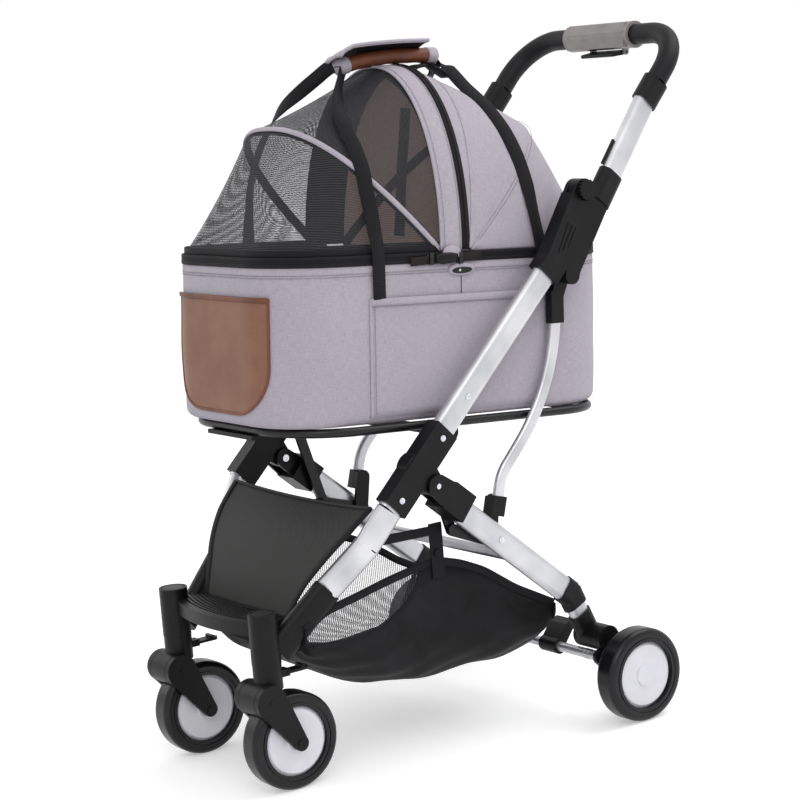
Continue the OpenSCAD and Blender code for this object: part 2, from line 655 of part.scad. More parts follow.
// ---------- carrier ----------
zip_h = 14;
dome_base = carrier_h + zip_h;
floor_t = 5;
board_t = 6;
module carrier_body() color(cloth) tilted() difference() {
  linear_extrude(carrier_h) plan(0);
  translate([0, 0, floor_t]) linear_extrude(carrier_h) plan(-side_t);
}
module carrier_floor() color([0.3, 0.29, 0.3]) tilted() translate([0, 0, floor_t + gap])
  linear_extrude(board_t) plan(-side_t - 2);
module zipper_band() color(black) tilted() translate([0, 0, carrier_h + 0.05]) difference() {
  linear_extrude(zip_h - 0.35) plan(1.5);
  translate([0, 0, -1]) linear_extrude(zip_h + 2) plan(-4);
}
flap_half = 118;
flap_top = 182;
flap_low = 18;
flap_r = 70;
module pocket_flap() color(leather) tilted() intersection() {
  difference() {
    linear_extrude(carrier_h) plan(3.6);
    translate([0, 0, -1]) linear_extrude(carrier_h + 2) plan(0.8);
  }
  translate([0, -200, 0]) rotate([90, 0, 0]) linear_extrude(200) {
    translate([-flap_half, flap_low + flap_r]) square([2 * flap_half, flap_top - flap_low - flap_r]);
    translate([-flap_half + flap_r, flap_low]) square([2 * (flap_half - flap_r), flap_r + 1]);
    for (s = [-1, 1]) translate([s * (flap_half - flap_r), flap_low + flap_r]) circle(r = flap_r);
  }
}
// the canopy is a dome over the carrier's plan, elliptical in every upright section
dome_n = 2.2;
dome_side = 44;
dome_rows = 9;
function dome_f(s) = pow(max(0, 1 - pow(s, dome_n)), 1 / dome_n);
function plan_pt(a, w, l, p) = let (c = cos(a), s = sin(a),
  k = pow(pow(abs(c), p) + pow(abs(s), p), -1 / p)) [w * k * c, l * k * s];
module dome(grow) {
  w = carrier_w / 2 + grow;
  l = carrier_l / 2 + grow;
  h = canopy_h + grow;
  pts = concat(
    [for (i = [0:dome_rows - 1]) for (j = [0:dome_side - 1])
      let (t = 90 * i / dome_rows, p = max(2.4, 5 - 4.5 * sin(t)),
        q = plan_pt(360 * j / dome_side, w, l, p) * dome_f(sin(t)))
        [q[0], tray_y + q[1], dome_base + h * sin(t)]],
    [[0, tray_y, dome_base + h], [0, tray_y, dome_base]]);
  top = dome_rows * dome_side;
  faces = concat(
    [for (i = [0:dome_rows - 2]) for (j = [0:dome_side - 1]) let (k = (j + 1) % dome_side)
      [i * dome_side + j, (i + 1) * dome_side + j, (i + 1) * dome_side + k, i * dome_side + k]],
    [for (j = [0:dome_side - 1]) [(dome_rows - 1) * dome_side + j, top,
      (dome_rows - 1) * dome_side + (j + 1) % dome_side]],
    [for (j = [0:dome_side - 1]) [j, (j + 1) % dome_side, top + 1]]);
  polyhedron(pts, faces, convexity = 4);
}
module dome_shell(g0, g1) {
  difference() {
    dome(g1);
    translate([0, 0, -0.1]) dome(g0);
  }
}
hoop_y = -52;
hoop_w = 38;
bow_y = -71;
bow_z = dome_base + 6;
bow_angle = 43;
mesh_t = 3;
module canopy_mesh() color([0.3, 0.3, 0.32]) tilted() intersection() {
  dome_shell(-mesh_t, 0);
  translate([-300, hoop_y - 6 - 400, dome_base]) cube([600, 400, 400]);
}
module canopy_bow() color(black) tilted() intersection() {
  dome_shell(-9, -mesh_t - gap);
  translate([0, bow_y, bow_z]) rotate([-bow_angle, 0, 0]) translate([-300, -400, -4]) cube([600, 400, 8]);
}
hoop_fold = 50;
module canopy_hoop() color(cloth) tilted() difference() {
  intersection() {
    dome_shell(0.8, 4.2);
    translate([-300, hoop_y - 26, dome_base + gap]) cube([600, hoop_w, 400]);
  }
  translate([-300, hoop_y, dome_base]) rotate([-hoop_fold, 0, 0])
    translate([0, -400, gap - 400]) cube([600, 400, 400]);
}
module rear_hood() color(cloth) tilted() intersection() {
  dome_shell(-mesh_t, 0);
  translate([-300, hoop_y - 5, dome_base]) cube([600, 500, 400]);
}
strap_w = 25;
strap_g = 8;
strap_t = 2;
strap_low = 176;
patch_h = 34;
side_strap_x = carrier_w / 2 + 6;
front_strap = [-189, -5.5];
rear_strap = [106, 10.7];
grip_y0 = -130;
grip_y1 = 34;
grip_z = dome_base + canopy_h + 19;
grip_wrap = 26;
web_half = 10;
module strap_slab(s, h) {
  translate([0, s[0], strap_low]) rotate([s[1], 0, 0])
    translate([-300, -strap_w / 2, 0]) cube([600, strap_w, h]);
}
module web_path(t) {
  slab_2d([-162, 494], [grip_y0 - 2, grip_z], t);
  slab_2d([grip_y0 - 3, grip_z], [grip_y1 + 3, grip_z], t);
  slab_2d([grip_y1 + 2, grip_z], [48, 500], t);
}
module carry_straps() color(black) tilted() {
  for (s = [front_strap, rear_strap]) {
    intersection() {
      dome_shell(strap_g, strap_g + strap_t);
      strap_slab(s, 500);
    }
    intersection() {
      strap_slab(s, 500);
      both_sides() translate([side_strap_x, -300, 0]) cube([strap_t, 600, dome_base + 0.5]);
    }
    intersection() {
      strap_slab(s, patch_h);
      both_sides() translate([carrier_w / 2 + gap, -300, 0])
        cube([side_strap_x - carrier_w / 2 - gap + 1, 600, dome_base]);
    }
  }
  plate(-web_half, web_half) web_path(3);
}
module handle_wrap() color(leather) tilted() difference() {
  translate([0, grip_y0, grip_z]) rotate([-90, 0, 0]) cylinder(d = grip_wrap, h = grip_y1 - grip_y0);
  plate(-web_half - gap, web_half + gap) slab_2d([grip_y0 - 5, grip_z], [grip_y1 + 5, grip_z], 3 + 2 * gap);
}
module side_buckles() color(black) tilted() both_sides() {
  translate([carrier_w / 2 + 1.8, -110, carrier_h - 2]) cube([4, 60, 12]);
  translate([carrier_w / 2 + 0.3, -66, carrier_h - 16]) rotate([0, 90, 0]) {
    cylinder(d = 14, h = 3);
    translate([0, 22, 0]) cylinder(d = 14, h = 3);
    translate([-7, 0, 0]) cube([14, 22, 3]);
  }
}

main_tubes();
front_tubes();
leg_blocks();
hinge_housings();
frame_rivets();
tray_ring();
tray_crossbars();
footplate();
caster_sockets();
footrest_panel();
storage_basket();
basket_straps();
handle_tubes();
handle_levers();
pivot_knobs();
handlebar();
handle_collars();
console();
latch_slides();
release_trigger();
rear_tubes();
rear_brackets();
rear_cross_tube();
rear_stubs();
leg_collars();
hub_housings();
axle_tube();
rear_rivets();
suspension_arm_left();
suspension_arm_right();
brake_pedal();
rear_tyre_left();
rear_tyre_right();
rear_disc_left();
rear_disc_right();
strut_tubes();
strut_fittings();
brace_links();
brace_plates();
swivel_stem_left();
swivel_stem_right();
swing_fork_left();
swing_fork_right();
front_tyre_left();
front_tyre_right();
front_disc_left();
front_disc_right();
swivel_lock_left();
swivel_lock_right();
carrier_body();
carrier_floor();
zipper_band();
pocket_flap();
canopy_mesh();
canopy_bow();
canopy_hoop();
rear_hood();
carry_straps();
handle_wrap();
side_buckles();
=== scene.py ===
"""Pet stroller: cloth, net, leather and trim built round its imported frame."""
import json
import math

import bpy
import numpy as np
from mathutils import Matrix, Vector


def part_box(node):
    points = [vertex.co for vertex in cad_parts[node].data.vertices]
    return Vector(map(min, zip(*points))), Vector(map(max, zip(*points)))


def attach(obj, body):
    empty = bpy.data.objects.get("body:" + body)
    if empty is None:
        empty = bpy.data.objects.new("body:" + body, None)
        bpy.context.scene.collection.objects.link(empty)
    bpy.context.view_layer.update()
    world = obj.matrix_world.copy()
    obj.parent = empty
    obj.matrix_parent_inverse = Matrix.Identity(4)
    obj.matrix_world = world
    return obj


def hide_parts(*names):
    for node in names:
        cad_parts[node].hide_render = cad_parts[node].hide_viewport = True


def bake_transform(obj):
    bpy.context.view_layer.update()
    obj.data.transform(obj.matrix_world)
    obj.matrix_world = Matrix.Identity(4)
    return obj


bl_info = {
    "name": "Pet stroller",
    "version": (1, 0, 0),
    "blender": (4, 5, 0),
    "location": "3D View > Sidebar > Stroller",
    "description": "Builds a folding pet stroller's cloth, trim and finishes round its frame",
    "category": "Object",
}

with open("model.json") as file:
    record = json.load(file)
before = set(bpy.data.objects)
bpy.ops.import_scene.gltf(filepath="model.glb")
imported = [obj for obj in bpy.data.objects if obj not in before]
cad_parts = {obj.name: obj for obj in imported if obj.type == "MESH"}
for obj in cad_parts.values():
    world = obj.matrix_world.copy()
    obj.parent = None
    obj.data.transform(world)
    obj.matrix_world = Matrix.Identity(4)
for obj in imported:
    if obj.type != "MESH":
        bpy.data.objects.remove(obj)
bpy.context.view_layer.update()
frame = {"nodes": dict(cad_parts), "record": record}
NODES = frame["nodes"]
MM = 0.001

# ---------- the carrier's own frame: x across, v along from its middle, z up from its floor ----------
TILT = math.radians(4.5)
COS, SIN = math.cos(TILT), math.sin(TILT)
CARRIER_UP = np.array([0, SIN, COS])
body_low, body_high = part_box("carrier_body")
span_y, span_z = body_high.y - body_low.y, body_high.z - body_low.z
HALF_W = (body_high.x - body_low.x) / 2
HALF_L = (span_y * COS - span_z * SIN) / (COS * COS - SIN * SIN) / 2
WALL_H = (span_z * COS - span_y * SIN) / (COS * COS - SIN * SIN)
MIDDLE = (body_low + body_high) / 2
CORNER_R, REAR_R = 0.095, 0.124
ZIP_H = 0.014
DOME_Z = WALL_H + ZIP_H
CABIN_MIDDLE = np.array([0, -0.02, DOME_Z - 0.02])
# each hoop is half an oval: its foot's place along the carrier, lean, half its width, height and fullness
FRONT_BOW = (-0.034, math.radians(43.5), 0.162, 0.258, 2.5)
HOOP_FRONT = (-0.038, math.radians(90), 0.1665, 0.2665, 2.1)
HOOP_REAR = (-0.001, math.radians(90), 0.1665, 0.2685, 2.1)
REAR_BOW = (0.014, math.radians(134), 0.164, 0.262, 2.7)


def to_world(points):
    """Points of the carrier's own frame, as an N by 3 array, in the row frame."""
    p = np.asarray(points, float).reshape(-1, 3)
    z = p[:, 2] - WALL_H / 2
    return np.stack([p[:, 0], COS * p[:, 1] + SIN * z + MIDDLE.y, COS * z - SIN * p[:, 1] + MIDDLE.z], 1)


def in_world(grid):
    """A grid of points of the carrier's own frame, in the row frame."""
    return to_world(grid).reshape(grid.shape)


def run_of(points):
    """The length gone at each point of a line, or down each column of a grid."""
    steps = np.linalg.norm(np.diff(points, axis=0), axis=-1)
    return np.concatenate([np.zeros((1,) + steps.shape[1:]), np.cumsum(steps, 0)])


def wall_outline():
    """The carrier's plan as a line from the middle of its front: place, outward normal, length so far."""
    a, b, r, q = HALF_W, HALF_L, CORNER_R, REAR_R
    corners = ((a - r, r - b, r), (a - q, b - q, q), (q - a, b - q, q), (r - a, r - b, r), (0, -b, 0))
    share = np.linspace(0, 1, 40, endpoint=False)[:, None]
    place, out, at = [], [], np.array([0, -b])
    for quarter, (x, v, radius) in enumerate(corners):
        first = math.radians(90 * quarter - 90)
        normal = np.array([math.cos(first), math.sin(first)])
        place.append(at + (np.array([x, v]) + radius * normal - at) * share)
        out.append(np.broadcast_to(normal, (len(share), 2)))
        if radius:
            turn = first + np.radians(np.linspace(0, 90, 60, endpoint=False))
            round_off = np.stack([np.cos(turn), np.sin(turn)], 1)
            place.append([x, v] + radius * round_off)
            out.append(round_off)
            at = np.array([x, v]) + radius * np.array([-normal[1], normal[0]])
    place = np.concatenate(place + [[[0, -b]]])
    return place, np.concatenate(out + [[[0, -1]]]), run_of(place)


OUTLINE, OUTWARD, ALONG = wall_outline()
ROUND = ALONG[-1]


def wall_swell(s, z):
    """How far the padded wall stands out at a length along the plan and a height."""
    s, z = np.asarray(s, float), np.asarray(z, float)
    lift = np.sin(np.pi * np.clip(z / WALL_H, 0, 1))
    angle = 2 * np.pi * s / ROUND
    ripple = (0.5 * np.sin(7 * angle + 9 * z / WALL_H) + 0.35 * np.sin(13 * angle - 14 * z / WALL_H + 1)
              + 0.25 * np.sin(29 * angle + 5 * z / WALL_H + 2))
    return lift * (1.6 + 0.8 * ripple) * MM


def on_wall(s, z, off):
    """Points on the carrier's wall, in its own frame: length along the plan, height, distance outward."""
    s, z = np.broadcast_arrays(np.asarray(s, float), np.asarray(z, float))
    off = np.broadcast_to(off, s.shape) + wall_swell(s, z)
    w = np.mod(s, ROUND)
    x, v = (np.interp(w, ALONG, OUTLINE[:, k]) + off * np.interp(w, ALONG, OUTWARD[:, k]) for k in (0, 1))
    return np.stack([x, v, z], -1)


def wall_path(s, z, off):
    """A line on the carrier's wall in the row frame, with the wall's outward directions."""
    s = np.asarray(s, float)
    nx, nv = (np.interp(np.mod(s, ROUND), ALONG, OUTWARD[:, k]) for k in (0, 1))
    return to_world(on_wall(s, z, off)), np.stack([nx, COS * nv, -SIN * nv], 1)


def side_length(v, side):
    """Length along the plan at which the right (1) or left (-1) straight side passes v."""
    s = (HALF_W - CORNER_R) + math.pi / 2 * CORNER_R + (v + HALF_L - CORNER_R)
    return s if side > 0 else ROUND - s


def hoop_line(hoop, across, grow=0.0):
    """Points on one hoop, in the carrier's own frame, at angles across it from its right foot to its left."""
    foot, lean, wide, tall, full = hoop
    a = np.radians(np.asarray(across, float))
    wide, tall = wide + grow, tall + grow
    r = ((np.abs(np.cos(a)) / wide) ** full + (np.sin(a) / tall) ** full) ** (-1 / full)
    rise = r * np.sin(a)
    return np.stack([r * np.cos(a), foot - rise * math.cos(lean), DOME_Z + rise * math.sin(lean)], -1)


def shifted(hoop, step):
    """The same hoop with its foot further along the carrier."""
    return (hoop[0] + step,) + hoop[1:]


def rim_line(front, across, foot):
    """Points on the carrier's rim, seen from the middle of a hoop's foot, round the front or the rear."""
    rim = OUTLINE - OUTWARD * 0.003
    ahead = (foot - rim[:, 1]) if front else (rim[:, 1] - foot)
    turn = np.degrees(np.arctan2(ahead, rim[:, 0]))
    side = ahead > -1e-6
    order = np.argsort(turn[side])
    x, v = (np.interp(across, turn[side][order], rim[side][order][:, k]) for k in (0, 1))
    return np.stack([x, v, np.full(x.shape, DOME_Z)], -1)


def stretched(line_a, line_b, share, belly=0.0):
    """Cloth pulled from one line to another; belly swells it outward between them."""
    share = np.asarray(share, float)[:, None, None]
    grid = line_a[None] * (1 - share) + line_b[None] * share
    swell = belly * 4 * share * (1 - share)
    out = grid - (CABIN_MIDDLE - [0, 0, 0.03])
    return grid + out / np.linalg.norm(out, axis=2, keepdims=True) * swell


def outward_of(grid):
    """Unit directions away from the middle of the cabin."""
    out = grid - CABIN_MIDDLE
    return out / np.linalg.norm(out, axis=-1, keepdims=True)


def outward_path(line):
    """A line of the carrier's own frame in the row frame, with its directions away from the cabin."""
    path = to_world(line)
    out = to_world(line + outward_of(line) * 0.01) - path
    return path, out / np.linalg.norm(out, axis=1)[:, None]


def hoop_path(hoop, grow, low=1.0, high=179.0, count=70):
    """A line along a hoop in the row frame, with its outward directions."""
    return outward_path(hoop_line(hoop, np.linspace(low, high, count), grow))


def smooth_line(points, count):
    """Even points along a smooth curve through the given ones."""
    points = np.asarray(points, float)
    ends = np.concatenate([[2 * points[0] - points[1]], points, [2 * points[-1] - points[-2]]])
    out = []
    for i in range(1, len(ends) - 2):
        p0, p1, p2, p3 = ends[i - 1:i + 3]
        t = np.linspace(0, 1, 12, endpoint=False)[:, None]
        out.append(0.5 * (2 * p1 + (p2 - p0) * t + (2 * p0 - 5 * p1 + 4 * p2 - p3) * t ** 2
                          + (3 * p1 - p0 - 3 * p2 + p3) * t ** 3))
    line = np.concatenate(out + [ends[-2:-1]])
    gone = run_of(line)
    even = np.linspace(0, gone[-1], count)
    return np.stack([np.interp(even, gone, line[:, k]) for k in range(line.shape[1])], 1)


# ---------- small mesh tools ----------
def mesh_piece(name, points, faces, materials, face_material=None, uv=None):
    """A mesh object of the given world points. uv is one pair per point, in metres."""
    mesh = bpy.data.meshes.new(name)
    mesh.from_pydata([tuple(p) for p in points], [], [tuple(int(i) for i in f) for f in faces])
    for material in materials:
        mesh.materials.append(material)
    if face_material is not None:
        mesh.polygons.foreach_set("material_index", np.asarray(face_material, np.int32))
    mesh.polygons.foreach_set("use_smooth", np.full(len(mesh.polygons), True))
    if uv is not None:
        layer = mesh.uv_layers.new(name="cut")
        index = np.zeros(len(mesh.loops), np.int32)
        mesh.loops.foreach_get("vertex_index", index)
        layer.data.foreach_set("uv", np.asarray(uv, np.float32).reshape(-1, 2)[index].ravel())
    mesh.update()
    piece = bpy.data.objects.new(name, mesh)
    bpy.context.scene.collection.objects.link(piece)
    return piece


def grid_faces(rows, cols):
    """Quads of a grid whose points run row by row."""
    return [(r * cols + c, r * cols + c + 1, (r + 1) * cols + c + 1, (r + 1) * cols + c)
            for r in range(rows - 1) for c in range(cols - 1)]


def tube_faces(rings, cols, closed=False):
    """Quads round a tube of rings, with capped ends unless its last ring meets its first."""
    faces = []
    for r in range(rings if closed else rings - 1):
        here, there = r * cols, (r + 1) % rings * cols
        faces += [(here + a, here + (a + 1) % cols, there + (a + 1) % cols, there + a) for a in range(cols)]
    if not closed:
        faces += [tuple(range(cols))[::-1], tuple((rings - 1) * cols + c for c in range(cols))]
    return faces


def cut_of(grid, even=False):
    """Flat places on the cloth for a grid of points, measured along it; even keeps its rows straight."""
    u = run_of(grid.swapaxes(0, 1)).T
    u = u - u[:, grid.shape[1] // 2][:, None]
    v = run_of(grid)
    if even:
        v = np.broadcast_to(v.mean(1)[:, None], v.shape)
    return np.stack([u, v], -1)


def thickened(piece, thickness, lining=0):
    """Gives a sheet its thickness, to its inner side; lining is how many materials further that side is."""
    thick = piece.modifiers.new("thickness", "SOLIDIFY")
    thick.thickness = thickness
    thick.offset = -1
    thick.material_offset = lining
    depsgraph = bpy.context.evaluated_depsgraph_get()
    mesh = bpy.data.meshes.new_from_object(piece.evaluated_get(depsgraph), preserve_all_data_layers=True,
                                           depsgraph=depsgraph)
    piece.modifiers.clear()
    piece.data = mesh
    return piece


def cloth(name, grid, finishes, thickness, uv=None):
    """A cloth sheet on a rows by columns grid of points; its inner side may be lined with a second finish."""
    piece = mesh_piece(name, grid.reshape(-1, 3), grid_faces(*grid.shape[:2]), [finish(f) for f in finishes],
                       uv=cut_of(grid, even=True) if uv is None else uv)
    return thickened(piece, thickness, len(finishes) - 1)


def declare_sheet(grid):
    """Works out the flat size that a sheet was cut to, which is its size along the cloth, and keeps it
    nowhere.
    """
    across, down = run_of(grid.swapaxes(0, 1))[-1].max(), run_of(grid)[-1].max()


def placed(piece, body, nodes=(), sewn=0.0):
    """Puts a finished piece on its body, in place of its plain solids.

    A sewn piece is not put on its body: its place is baked into its points.
    """
    if sewn:
        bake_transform(piece)
    else:
        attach(piece, body)
    if nodes:
        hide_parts(*nodes)
    return piece


def circle_section(radius, sides=10, flat=1.0):
    """A cord's section; flat presses it."""
    a = np.linspace(0, 2 * np.pi, sides, endpoint=False)
    return np.stack([radius * np.cos(a), radius * flat * np.sin(a)], 1)


def strap_section(width, thickness):
    """A webbing's section with softly rounded edges."""
    w, t, r = width / 2, thickness / 2, thickness * 0.35
    return np.array([(-w, -t + r), (-w + r, -t), (w - r, -t), (w, -t + r),
                     (w, t - r), (w - r, t), (-w + r, t), (-w, t - r)])


STITCH_PITCH, STITCH_L, STITCH_W = 0.004, 0.0027, 0.0009


class Trim:
    """Straps, cords and stitches gathered into one object. A line is a path and its outward directions."""

    def __init__(self):
        self.points, self.uv, self.faces, self.finishes = [], [], [], []

    def take(self, points, faces, finish_name, uv):
        base = len(self.points)
        self.points.extend(points)
        self.uv.extend(uv)
        self.faces += [tuple(base + i for i in face) for face in faces]
        self.finishes += [finish_name] * len(faces)

    def sweep(self, line, section, finish_name, closed=False, taper=None):
        """A solid of a closed section, as (side, up) pairs in metres, drawn along a line."""
        path = np.asarray(line[0], float)
        tangent = np.roll(path, -1, 0) - np.roll(path, 1, 0) if closed else np.gradient(path, axis=0)
        tangent = tangent / np.linalg.norm(tangent, axis=1)[:, None]
        up = np.broadcast_to(np.asarray(line[1], float), path.shape)
        up = up - (up * tangent).sum(1)[:, None] * tangent
        up /= np.linalg.norm(up, axis=1)[:, None]
        side = np.cross(up, tangent)
        size = np.ones(len(path)) if taper is None else np.asarray(taper, float)
        ring = path[:, None] + size[:, None, None] * (
            section[None, :, :1] * side[:, None] + section[None, :, 1:] * up[:, None])
        uv = np.stack(np.broadcast_arrays(run_of(section)[None, :], run_of(path)[:, None]), -1)
        faces = tube_faces(len(path), len(section), closed)
        self.take(ring.reshape(-1, 3), faces, finish_name, uv.reshape(-1, 2))

    def strap(self, line, width, thickness, finish_name, **more):
        self.sweep(line, strap_section(width, thickness), finish_name, **more)

    def stitches(self, line, finish_name="thread"):
        """A row of thread stitches lying along a line, proud of the cloth on its outward side."""
        path, out = np.asarray(line[0], float), np.asarray(line[1], float)
        gone = run_of(path)
        for s in np.arange(STITCH_PITCH / 2, gone[-1] - STITCH_L, STITCH_PITCH):
            ends = [np.array([np.interp(t, gone, path[:, k]) for k in range(3)]) for t in (s, s + STITCH_L)]
            normal = np.array([np.interp(s, gone, out[:, k]) for k in range(3)])
            normal /= np.linalg.norm(normal)
            run = (ends[1] - ends[0]) / np.linalg.norm(ends[1] - ends[0])
            side, top = np.cross(normal, run) * STITCH_W / 2, normal * STITCH_W * 0.6
            points = [p + step for p in ends for step in (-side, side, side * 0.5 + top, top - side * 0.5)]
            faces = [(k, (k + 1) % 4, 4 + (k + 1) % 4, 4 + k) for k in range(4)]
            faces += [(3, 2, 1, 0), (4, 5, 6, 7)]
            self.take(points, faces, finish_name, np.zeros((8, 2)))

    def join(self, name):
        """The gathered solids as one object."""
        used = list(dict.fromkeys(self.finishes))
        return mesh_piece(name, self.points, self.faces, [finish(f) for f in used],
                          [used.index(f) for f in self.finishes], self.uv)


# ---------- materials ----------
def linear(code):
    """An sRGB hex colour as linear red, green, blue and alpha."""
    parts = [int(code.lstrip("#")[i:i + 2], 16) / 255 for i in (0, 2, 4)]
    return tuple(c / 12.92 if c <= 0.04045 else ((c + 0.055) / 1.055) ** 2.4 for c in parts) + (1.0,)


def add(tree, kind, inputs=None, **settings):
    """Adds a node with its settings; an input is a value or the socket it is linked from."""
    node = tree.nodes.new(kind)
    for key, value in settings.items():
        setattr(node, key, value)
    for key, value in (inputs or {}).items():
        if isinstance(value, bpy.types.NodeSocket):
            tree.links.new(value, node.inputs[key])
        else:
            node.inputs[key].default_value = value
    return node


def new_material(name, constants):
    """A bare material: itself, its node tree and its one shader, which takes the constants."""
    material = bpy.data.materials.new(name)
    material.use_nodes = True
    tree = material.node_tree
    tree.nodes.clear()
    shader = add(tree, "ShaderNodeBsdfPrincipled", constants)
    add(tree, "ShaderNodeOutputMaterial", {"Surface": shader.outputs["BSDF"]})
    return material, tree, shader


def math_node(tree, operation, a, b=0.0):
    return add(tree, "ShaderNodeMath", {0: a, 1: b}, operation=operation).outputs[0]


def scaled(tree, value, factor):
    return math_node(tree, "MULTIPLY", value, factor)


def noise(tree, coords, scale, detail, distortion=0.0):
    return add(tree, "ShaderNodeTexNoise", {"Vector": coords, "Scale": scale, "Detail": detail,
                                            "Distortion": distortion}).outputs["Fac"]


def ranged(tree, value, **ends):
    """Maps a value to another range; ends are the node's own inputs, such as To_Min."""
    inputs = {key.replace("_", " "): end for key, end in ends.items()}
    return add(tree, "ShaderNodeMapRange", {"Value": value, **inputs}).outputs["Result"]


def toned(tree, shader, value, low, high, first, second):
    """Gives a shader a base colour between two hex tones, by a value."""
    share = ranged(tree, value, From_Min=low, From_Max=high)
    mix = add(tree, "ShaderNodeMix", data_type="RGBA")
    tree.links.new(share, mix.inputs["Factor"])
    mix.inputs["A"].default_value = linear(first)
    mix.inputs["B"].default_value = linear(second)
    colour = [o for o in mix.outputs if o.type == "RGBA"][0]
    tree.links.new(colour, shader.inputs["Base Color"])
    return colour


def bumped(tree, shader, height, strength, distance):
    """Gives a shader relief from a height."""
    bump = add(tree, "ShaderNodeBump", {"Height": height, "Strength": strength, "Distance": distance})
    tree.links.new(bump.outputs[0], shader.inputs["Normal"])


def cut_coords(tree):
    return add(tree, "ShaderNodeUVMap", uv_map="cut").outputs["UV"]


def object_coords(tree):
    return add(tree, "ShaderNodeTexCoord").outputs["Object"]


def axes(tree, coords):
    return add(tree, "ShaderNodeSeparateXYZ", {0: coords}).outputs


def waves(tree, value, pitch):
    """Even waves of a pitch in metres along a value."""
    return math_node(tree, "SINE", scaled(tree, value, 2 * math.pi / pitch))


def weave(tree, coords, thread):
    """Height of a plain weave of threads that far apart, in metres: the crossing of two sets of ribs."""
    u, v = (waves(tree, axis, thread) for axis in axes(tree, coords)[:2])
    return math_node(tree, "MULTIPLY", u, v)


def heather_cloth(name, base, light, thread=0.0011, slub=0.011, yarn=0.0010, painted_glow=0.0):
    """Heathered polyester canvas: two yarns spun together, so that fine pale and dark slubs run both ways.

    A thin lining also gets a painted glow: an emission in its own colour that stands in for the daylight
    coming through the cloth.
    """
    material, tree, shader = new_material(name, {
        "Roughness": 0.92, "Sheen Weight": 0.2, "Specular IOR Level": 0.2})
    coords = cut_coords(tree)
    yarns = [add(tree, "ShaderNodeMapping", {"Vector": coords, "Scale": stretch}).outputs[0]
             for stretch in ((1 / slub, 1 / yarn, 1), (1 / yarn, 1 / slub, 1))]
    slubs = [noise(tree, run, 1.0, 2.0) for run in yarns]
    threads = weave(tree, coords, thread)
    broad = noise(tree, coords, 9.0, 2.0)
    tone = math_node(tree, "ADD", math_node(tree, "ADD", *slubs), scaled(tree, broad, 0.3))
    colour = toned(tree, shader, tone, 0.85, 1.45, base, light)
    # painted light: the lining glows in its own colour, standing in for daylight through the cloth
    if painted_glow:
        tree.links.new(colour, shader.inputs["Emission Color"])
        shader.inputs["Emission Strength"].default_value = painted_glow
    bumped(tree, shader, math_node(tree, "ADD", threads, scaled(tree, tone, 0.8)), 0.3, 0.0004)
    return material


def open_net(name, colour, light, opening, cell=0.0032):
    """Warp-knitted polyester net: black threads round small staggered holes, coarse enough to show."""
    material, tree, shader = new_material(name, {"Roughness": 0.7})
    turns = 2 * math.pi / cell
    across, along = axes(tree, cut_coords(tree))[:2]
    u = math_node(tree, "COSINE", scaled(tree, across, turns))
    v = math_node(tree, "COSINE", scaled(tree, along, turns * 0.577))
    hole = math_node(tree, "ABSOLUTE", math_node(tree, "MULTIPLY", u, v))
    tree.links.new(math_node(tree, "LESS_THAN", hole, opening), shader.inputs["Alpha"])
    toned(tree, shader, hole, 0, opening, light, colour)
    return material


def ribbed_webbing(name, colour, light, rib=0.0022):
    """Woven polypropylene webbing: close ribs across the strap and a low shine."""
    material, tree, shader = new_material(name, {"Roughness": 0.62, "Specular IOR Level": 0.16})
    coords = cut_coords(tree)
    height = math_node(tree, "ADD", waves(tree, axes(tree, coords)[1], rib), noise(tree, coords, 700.0, 2.0))
    toned(tree, shader, height, -0.6, 1.6, colour, light)
    bumped(tree, shader, height, 0.4, 0.0004)
    return material


def grained_leather(name, colour, dark, grain=0.0028):
    """Split leather with a pressed pebble grain: soft shine that breaks on the pebbles, darker valleys."""
    material, tree, shader = new_material(name, {"Roughness": 0.5, "Specular IOR Level": 0.4})
    coords = object_coords(tree)
    pebbles = add(tree, "ShaderNodeTexVoronoi", {"Vector": coords, "Scale": 1 / grain},
                  feature="DISTANCE_TO_EDGE").outputs["Distance"]
    tone = math_node(tree, "ADD", scaled(tree, pebbles, 0.5), noise(tree, coords, 22.0, 4.0))
    toned(tree, shader, tone, 0.35, 0.85, dark, colour)
    bumped(tree, shader, pebbles, 0.35, 0.0003)
    return material


def satin_aluminium(name, colour, light):
    """Extruded aluminium tube, bead-blasted and clear anodised: an even pale metal with a faint fine grain.
    """
    material, tree, shader = new_material(name, {"Metallic": 0.85})
    coords = object_coords(tree)
    grain = noise(tree, coords, 900.0, 3.0)
    toned(tree, shader, noise(tree, coords, 14.0, 2.0), 0.3, 0.7, colour, light)
    tree.links.new(ranged(tree, grain, To_Min=0.32, To_Max=0.44), shader.inputs["Roughness"])
    bumped(tree, shader, grain, 0.06, 0.0002)
    return material


def moulded_plastic(name, colour, light, roughness, texture=0.0009, strength=0.12, shine=0.2):
    """Injection-moulded nylon with a spark-eroded surface: fine even texture, and shine that varies a little
    at random.
    """
    material, tree, shader = new_material(name, {"Specular IOR Level": shine})
    coords = object_coords(tree)
    fine, broad = noise(tree, coords, 1 / texture, 3.0), noise(tree, coords, 30.0, 3.0)
    toned(tree, shader, math_node(tree, "ADD", broad, scaled(tree, fine, 0.3)), 0.45, 0.9, colour, light)
    rough = ranged(tree, broad, To_Min=roughness - 0.05, To_Max=roughness + 0.07)
    tree.links.new(rough, shader.inputs["Roughness"])
    bumped(tree, shader, fine, strength, 0.0002)
    return material


def zinc_steel(name, colour, light):
    """Zinc-plated steel rivets: bright, slightly clouded."""
    material, tree, shader = new_material(name, {"Metallic": 1.0, "Roughness": 0.25})
    toned(tree, shader, noise(tree, object_coords(tree), 260.0, 3.0), 0.3, 0.7, colour, light)
    return material


